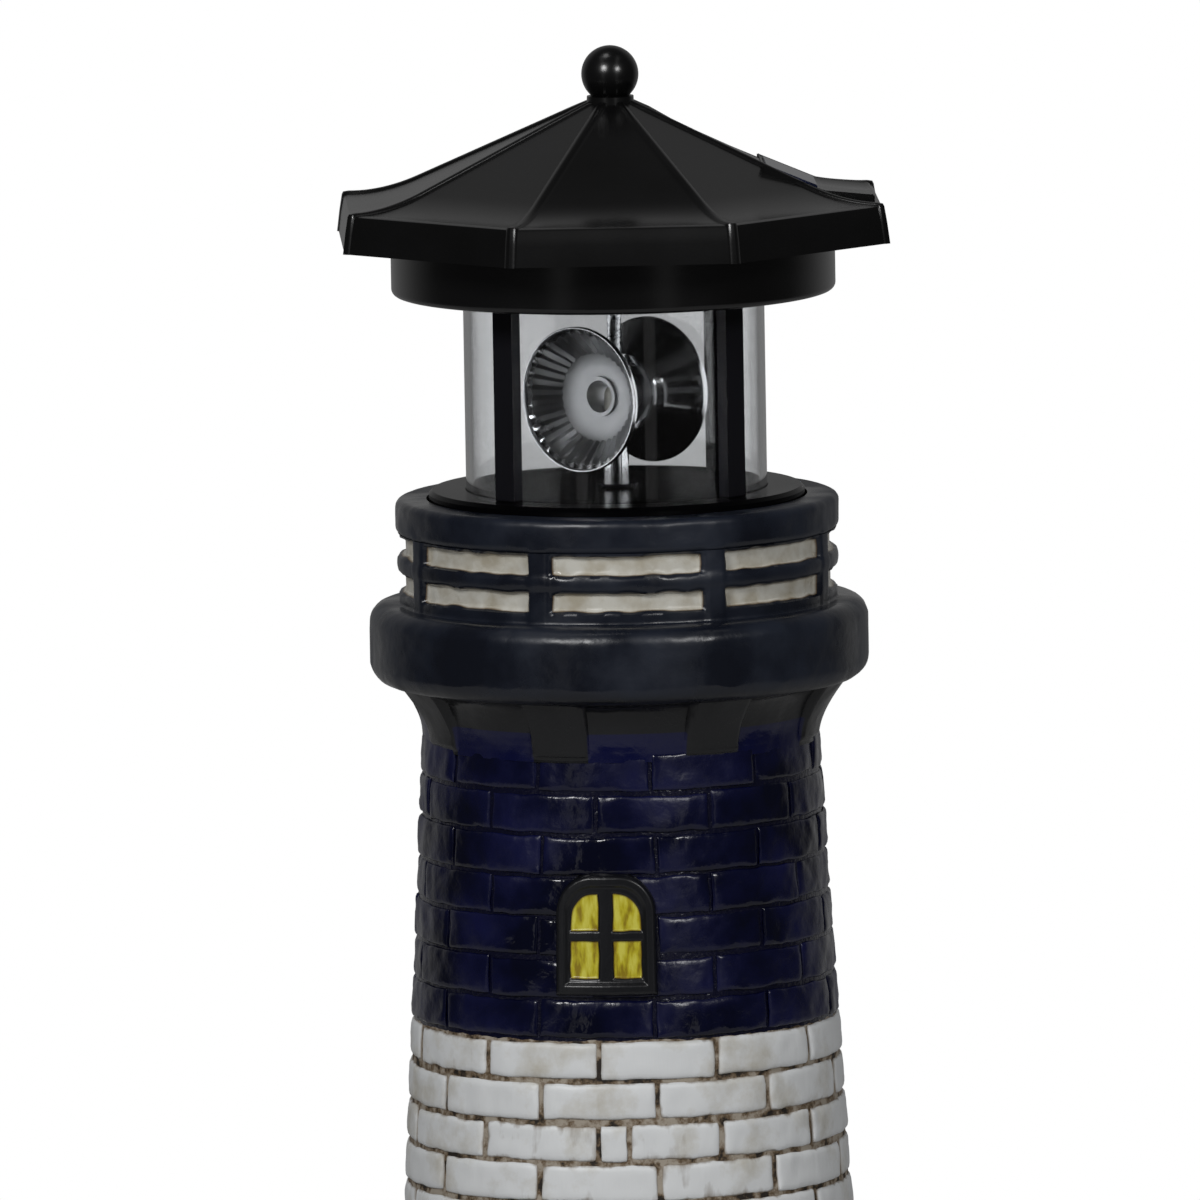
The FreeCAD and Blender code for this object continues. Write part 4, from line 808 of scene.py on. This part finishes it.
near_ridge = [0.0, 0.3, 0.6, 0.85, 1.05, 1.2, 1.32, 1.42, 1.9]
vertices, rings = [], []
for loop, line in (("outside", ridge_line), ("underside", under_line)):
    for radius, height in line:
        ring = []
        for side in range(8):
            start = roof_turn + 2 * eighth * side
            half_side = radius * math.sin(eighth)
            squeeze = min(1.0, half_side / 2.2)
            steps = [distance * squeeze for distance in near_ridge]
            inner = [steps[-1] + (half_side - steps[-1]) * k / 5 for k in range(1, 6)]
            distances = steps + inner
            distances = distances + [2 * half_side - distance for distance in reversed(distances[1:-1])]
            for distance in distances:
                x, y = radius * math.cos(eighth), distance - half_side
                middle = start + eighth
                rise, scale = 0.0, 1.0
                if loop == "outside":
                    edge = min(distance, 2 * half_side - distance) / squeeze
                    bump = rib_rise(edge) * squeeze
                    rise = bump * smooth(height, eave_low, eave_top)
                    if height <= eave_top:
                        scale += bump * 0.6 / radius
                    to_far_ridge = {0: distance, 7: 2 * half_side - distance}.get(side, half_side)
                    sag = smooth(radius, 6.0, 20.0) * (1 - smooth(radius, 38.0, 56.0))
                    rise -= far_ridge_sag * sag * max(0.0, 1 - to_far_ridge / half_side)
                ring.append(len(vertices))
                vertices.append((
                    (x * math.cos(middle) - y * math.sin(middle)) * scale * MM,
                    (x * math.sin(middle) + y * math.cos(middle)) * scale * MM,
                    (height + rise) * MM,
                ))
        rings.append(ring)
roof = mesh_object("roof", vertices, skin(rings), black_abs, 24.0)
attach(roof, "lantern")
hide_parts("roof_shell")

# ----------------------------------------------------------------------
# Finial: a ball on a short waisted neck, moulded in one of black ABS and pushed into the top of the roof
# with a peg.
# ----------------------------------------------------------------------
ball_centre = 349.0
finial = turned(
    "finial",
    [(0.0, 341.05), (2.0, 341.05), (2.0, 342.2), (5.0, 342.4), (4.9, 344.4)]
    + rounded(0.0, ball_centre, 6.0, -48, 90, 22)[:-1]
    + [(0.0, 355.0)],
    64,
    black_abs,
)
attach(finial, "lantern")
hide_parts("finial_ball")

# ----------------------------------------------------------------------
# Canopy drum and lantern frame: black ABS mouldings. The drum carries the roof and holds the tube's top.
# The frame, a flange with a deck and four posts, is shown as built, as are the cup and its door.
# ----------------------------------------------------------------------
posts_low = 262.1

# The roof's material with less sheen, with painted shade making it darkest on the deck and a painted sheen
# making the posts greyer
deck_abs = black_abs.copy()
deck_abs.name = "black_matt_abs_painted_shade_and_sheen"
tree = deck_abs.node_tree
shader = next(node for node in tree.nodes if node.type == "BSDF_PRINCIPLED")
where = add(tree, "TexCoord").outputs["Object"]
height = add(tree, "SeparateXYZ", {0: where}).outputs["Z"]
on_posts = add(
    tree, "MapRange", {"Value": height, "From Min": posts_low * MM, "From Max": (posts_low + 0.4) * MM}
)
dulled = add(tree, "MapRange", {"Value": on_posts, "To Min": 0.06, "To Max": 0.12})
# Painted shade on the deck and below it, painted sheen on the posts
painted_shade_and_sheen_tone = add(tree, "Mix", {0: on_posts, 6: linear("#040405"), 7: linear("#17171b")}, data_type="RGBA")
fill(shader, {"Specular IOR Level": dulled, "Base Color": painted_shade_and_sheen_tone.outputs[2]})


def refinish(node, material):
    """Gives a CAD node that is shown as built its finish."""
    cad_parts[node].data.materials.clear()
    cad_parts[node].data.materials.append(material)


for name in ("lantern_frame", "base_cup", "battery_door"):
    refinish(name, deck_abs)

# The drum's skirt with its small lower edge, and its floor with the boss for the beacon's pin
drum = turned(
    "drum",
    [(1.6, 300.6), (4.6, 300.6), (4.6, 303.2), (45.2, 303.2)]
    + rounded(45.2, 304.6, 1.4, -80, 0, 5)
    + [(46.6, 321.9), (44.6, 321.9), (44.6, 305.2), (1.6, 305.2)],
    256,
    black_abs,
)
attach(drum, "lantern")
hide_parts("canopy_drum")

# ----------------------------------------------------------------------
# Solar tray: a shallow black tray let into the right-hand roof face, with a thin lip all round for the
# cell. A separate moulding, clipped in.
# ----------------------------------------------------------------------
tray_turn = math.radians(2.0)
tray_half = 13.2
tray_middle = -3.8
tray_line = [(30.9, 330.9), (43.8, 325.4), (54.4, 324.3)]


def slab(name, line, thickness, half_width, material, bevel, lip=0.0):
    """A plate that follows a line of (reach, height), its top edges bevelled, with an optional raised lip."""
    across = [-half_width, half_width]
    shape = bmesh.new()
    tops, bottoms = [], []
    for reach, height in line:
        for level, row in ((height, tops), (height - thickness, bottoms)):
            row.append(
                [shape.verts.new((reach * MM, (tray_middle + side) * MM, level * MM)) for side in across]
            )
    for k in range(len(line) - 1):
        shape.faces.new((tops[k][0], tops[k + 1][0], tops[k + 1][1], tops[k][1]))
        shape.faces.new((bottoms[k][0], bottoms[k][1], bottoms[k + 1][1], bottoms[k + 1][0]))
        for side in (0, 1):
            shape.faces.new((tops[k][side], bottoms[k][side], bottoms[k + 1][side], tops[k + 1][side]))
    for k in (0, len(line) - 1):
        shape.faces.new((tops[k][0], tops[k][1], bottoms[k][1], bottoms[k][0]))
    bmesh.ops.recalc_face_normals(shape, faces=shape.faces)
    if lip:
        top = [face for face in shape.faces if face.normal.z > 0.6]
        bmesh.ops.inset_region(shape, faces=top, thickness=lip * MM, depth=-0.35 * MM)
    bmesh.ops.bevel(
        shape, geom=shape.edges[:], offset=bevel * MM, segments=2, affect="EDGES", clamp_overlap=True
    )
    bmesh.ops.rotate(shape, verts=shape.verts, cent=(0, 0, 0), matrix=Matrix.Rotation(tray_turn, 3, "Z"))
    mesh = bpy.data.meshes.new(name)
    shape.to_mesh(mesh)
    shape.free()
    mesh.shade_smooth()
    mesh.set_sharp_from_angle(angle=math.radians(35))
    mesh.materials.append(material)
    made = stand(name, mesh)
    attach(made, "lantern")
    return made


tray = slab("tray", tray_line, 3.2, tray_half, black_abs, 0.3, 1.0)
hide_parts("solar_tray")

# ----------------------------------------------------------------------
# Clear tube: a cut length of clear acrylic tube, its ends held in grooves. Faintly smoky, which greys
# the paper seen through it.
# ----------------------------------------------------------------------
tube_acrylic, tree, shader, where = new_material("smoky_acrylic_tube")
haze = add(tree, "TexNoise", {"Vector": where, "Scale": 120.0, "Detail": 3.0})
rough = add(tree, "MapRange", {"Value": haze, "To Min": 0.0, "To Max": 0.05})
fill(shader, {"Roughness": rough, "Base Color": linear("#cecfd0"), "Transmission Weight": 1.0, "IOR": 1.49})
clear_tube = turned("tube", [(30.1, 261.3), (31.6, 261.3), (31.6, 304.25), (30.1, 304.25)], 192, tube_acrylic)
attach(clear_tube, "lantern")
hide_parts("clear_tube")

# ----------------------------------------------------------------------
# Beacon: two bells of vacuum-metallised ABS back to back on a hub, each a fluted cone round a smooth
# bright bowl, on a bright sleeve that the gear turns.
# ----------------------------------------------------------------------
beacon_axis = 281.5

# Vacuum-metallised aluminium on ABS: mirror bright and slightly dark, satin in the bowls round the lamp
chrome_film, tree, shader, where = new_material("metallised_abs")
peel = add(tree, "TexNoise", {"Vector": where, "Scale": 380.0, "Detail": 2.0})
smudge = add(tree, "TexNoise", {"Vector": where, "Scale": 90.0, "Detail": 4.0})
haze = add(tree, "MapRange", {"Value": smudge, "To Min": 0.06, "To Max": 0.20})
in_bowl = add(tree, "Attribute", attribute_name="bowl")
satin = add(tree, "Math", {0: in_bowl.outputs["Fac"], 1: 0.42, 2: haze}, operation="MULTIPLY_ADD")
film = add(tree, "ValToRGB", {"Fac": smudge}, stops=((0.0, "#97989a"), (1.0, "#d3d4d6")))
relief = add(tree, "Bump", {"Height": peel, "Strength": 0.10, "Distance": 0.0003})
fill(shader, {"Roughness": satin, "Base Color": film, "Metallic": 1.0, "Normal": relief})

bell_section = (
    [(4.25, 3.9), (4.25, 4.6), (6.4, 4.75), (8.4, 5.2), (9.5, 6.0)]
    + [(9.6 + 5.1 * k / 8, 6.2 + 5.2 * k / 8) for k in range(9)]
    + [(14.75, 11.8), (14.95, 12.15), (15.15, 12.2), (15.3, 11.9), (15.3, 11.2), (15.1, 10.8), (14.95, 10.7)]
    + [(14.95 - 4.9 * k / 6, 10.7 - 5.3 * k / 6) for k in range(1, 7)]
    + [(9.2, 4.4), (8.7, 3.4), (8.3, 2.9), (7.9, 2.75), (6.7, 2.75), (6.3, 2.95), (6.15, 3.7), (5.6, 3.85)]
)
bowl_rows = range(1, 5)
fluted_rows = range(5, 13)
flutes = 36
groove_depth = 0.6


def bell(name, turn_degrees, node):
    """One bell about the level axis that points along turn_degrees."""
    forward = Vector((math.cos(math.radians(turn_degrees)), math.sin(math.radians(turn_degrees)), 0))
    across = Vector((-forward.y, forward.x, 0))
    up = Vector((0, 0, 1))
    columns = flutes * 8
    vertices = []
    for index, (radius, reach) in enumerate(bell_section):
        fluted = index in fluted_rows
        for column in range(columns):
            angle = 2 * math.pi * column / columns
            groove = groove_depth * abs((angle * flutes / math.pi) % 2 - 1) if fluted else 0.0
            r = radius - groove
            level = r * math.sin(angle) + beacon_axis
            vertices.append((forward * reach + across * (r * math.cos(angle)) + up * level) * MM)
    count = len(bell_section)
    rings = [range(row * columns, (row + 1) * columns) for row in range(count)]
    made = mesh_object(name, vertices, skin(rings), chrome_film, 28.0)
    haze_by_row = [1.0 if row in bowl_rows else 0.4 if row in fluted_rows else 0.0 for row in range(count)]
    bowl = [haze for haze in haze_by_row for column in range(columns)]
    made.data.attributes.new("bowl", "FLOAT", "POINT").data.foreach_set("value", bowl)
    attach(made, "beacon")
    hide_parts(node)


bell("bell_front", 230.0, "reflector_front")
bell("bell_rear", 50.0, "reflector_rear")

# The same film on the hub, satin all over as in the bowls
satin_film = chrome_film.copy()
satin_film.name = "satin_metallised_abs"
hub_satin = satin_film.node_tree.nodes[satin.name].inputs[0]
satin_film.node_tree.links.remove(hub_satin.links[0])
hub_satin.default_value = 1.0
refinish("beacon_hub", satin_film)
refinish("drive_sleeve", chrome_film)

# ----------------------------------------------------------------------
# Inside parts, as built: zinc-plated steel, nickel-plated contacts, white acetal gears, grey ABS holders,
# the battery cell in its sleeve, the circuit board and the lamp. Screws hold them to the deck and cup.
# ----------------------------------------------------------------------


def plain_finish(name, colour, other, scale, roughness, metallic=0.0):
    """A finish of two near colours in a grain of a given scale, for pieces that mostly stay hidden."""
    made, tree, shader, where = new_material(name)
    grain = add(tree, "TexNoise", {"Vector": where, "Scale": scale, "Detail": 3.0})
    ramp = add(tree, "ValToRGB", {"Fac": grain}, stops=((0.35, colour), (0.65, other)))
    spread_of_gloss = add(
        tree, "MapRange", {"Value": grain, "To Min": roughness * 0.8, "To Max": roughness * 1.2}
    )
    relief = add(tree, "Bump", {"Height": grain, "Strength": 0.1, "Distance": 0.0001})
    fill(shader, {"Base Color": ramp, "Roughness": spread_of_gloss, "Normal": relief, "Metallic": metallic})
    return made


steel = plain_finish("zinc_plated_steel", "#8d8f92", "#b4b6b8", 900.0, 0.28, 1.0)
nickel = plain_finish("nickel_plated_spring_steel", "#a59f92", "#c4bfb2", 700.0, 0.24, 1.0)
acetal = plain_finish("white_acetal", "#d9d8cf", "#e4e3dc", 500.0, 0.35)
grey_abs = plain_finish("grey_moulded_abs", "#3a3b3d", "#474849", 1200.0, 0.5)
rubber = plain_finish("black_rubber_seal", "#0d0d0d", "#181818", 1500.0, 0.75)
laminate = plain_finish("green_board_laminate", "#0d4a26", "#14602f", 1300.0, 0.3)
sleeve_film = plain_finish("cell_shrink_sleeve", "#1f6b3a", "#257a44", 300.0, 0.25)
lamp_resin = plain_finish("clear_lamp_epoxy", "#e6e4da", "#f2f0e6", 200.0, 0.08)
for name, finish in {
    "tube_gasket": rubber,
    "top_pin": steel,
    "motor_shaft": steel,
    "cup_screws": steel,
    "bracket_screws": steel,
    "roof_screws": steel,
    "board_screws": steel,
    "gear_motor": steel,
    "contact_leaf": nickel,
    "contact_plate": nickel,
    "motor_bracket": grey_abs,
    "switch_body": grey_abs,
    "switch_knob": grey_abs,
    "lamp_stalk": grey_abs,
    "drive_gear": acetal,
    "motor_pinion": acetal,
    "thrust_washer": acetal,
    "battery_cell": sleeve_film,
    "circuit_board": laminate,
    "lamp_led": lamp_resin,
}.items():
    refinish(name, finish)

# ----------------------------------------------------------------------
# Solar cell: a dark silicon cell under clear resin, glossy and faintly blue, glued on the sloping floor
# of the tray, inside the lip.
# ----------------------------------------------------------------------
cell_half = 9.0
cell_line = [(31.9, 330.55), (42.6, 326.0)]
silicon = plain_finish("solar_cell_under_resin", "#0c1020", "#161d3a", 260.0, 0.12)
cell = slab("cell", cell_line, 1.2, cell_half, silicon, 0.15)
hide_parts("solar_cell")
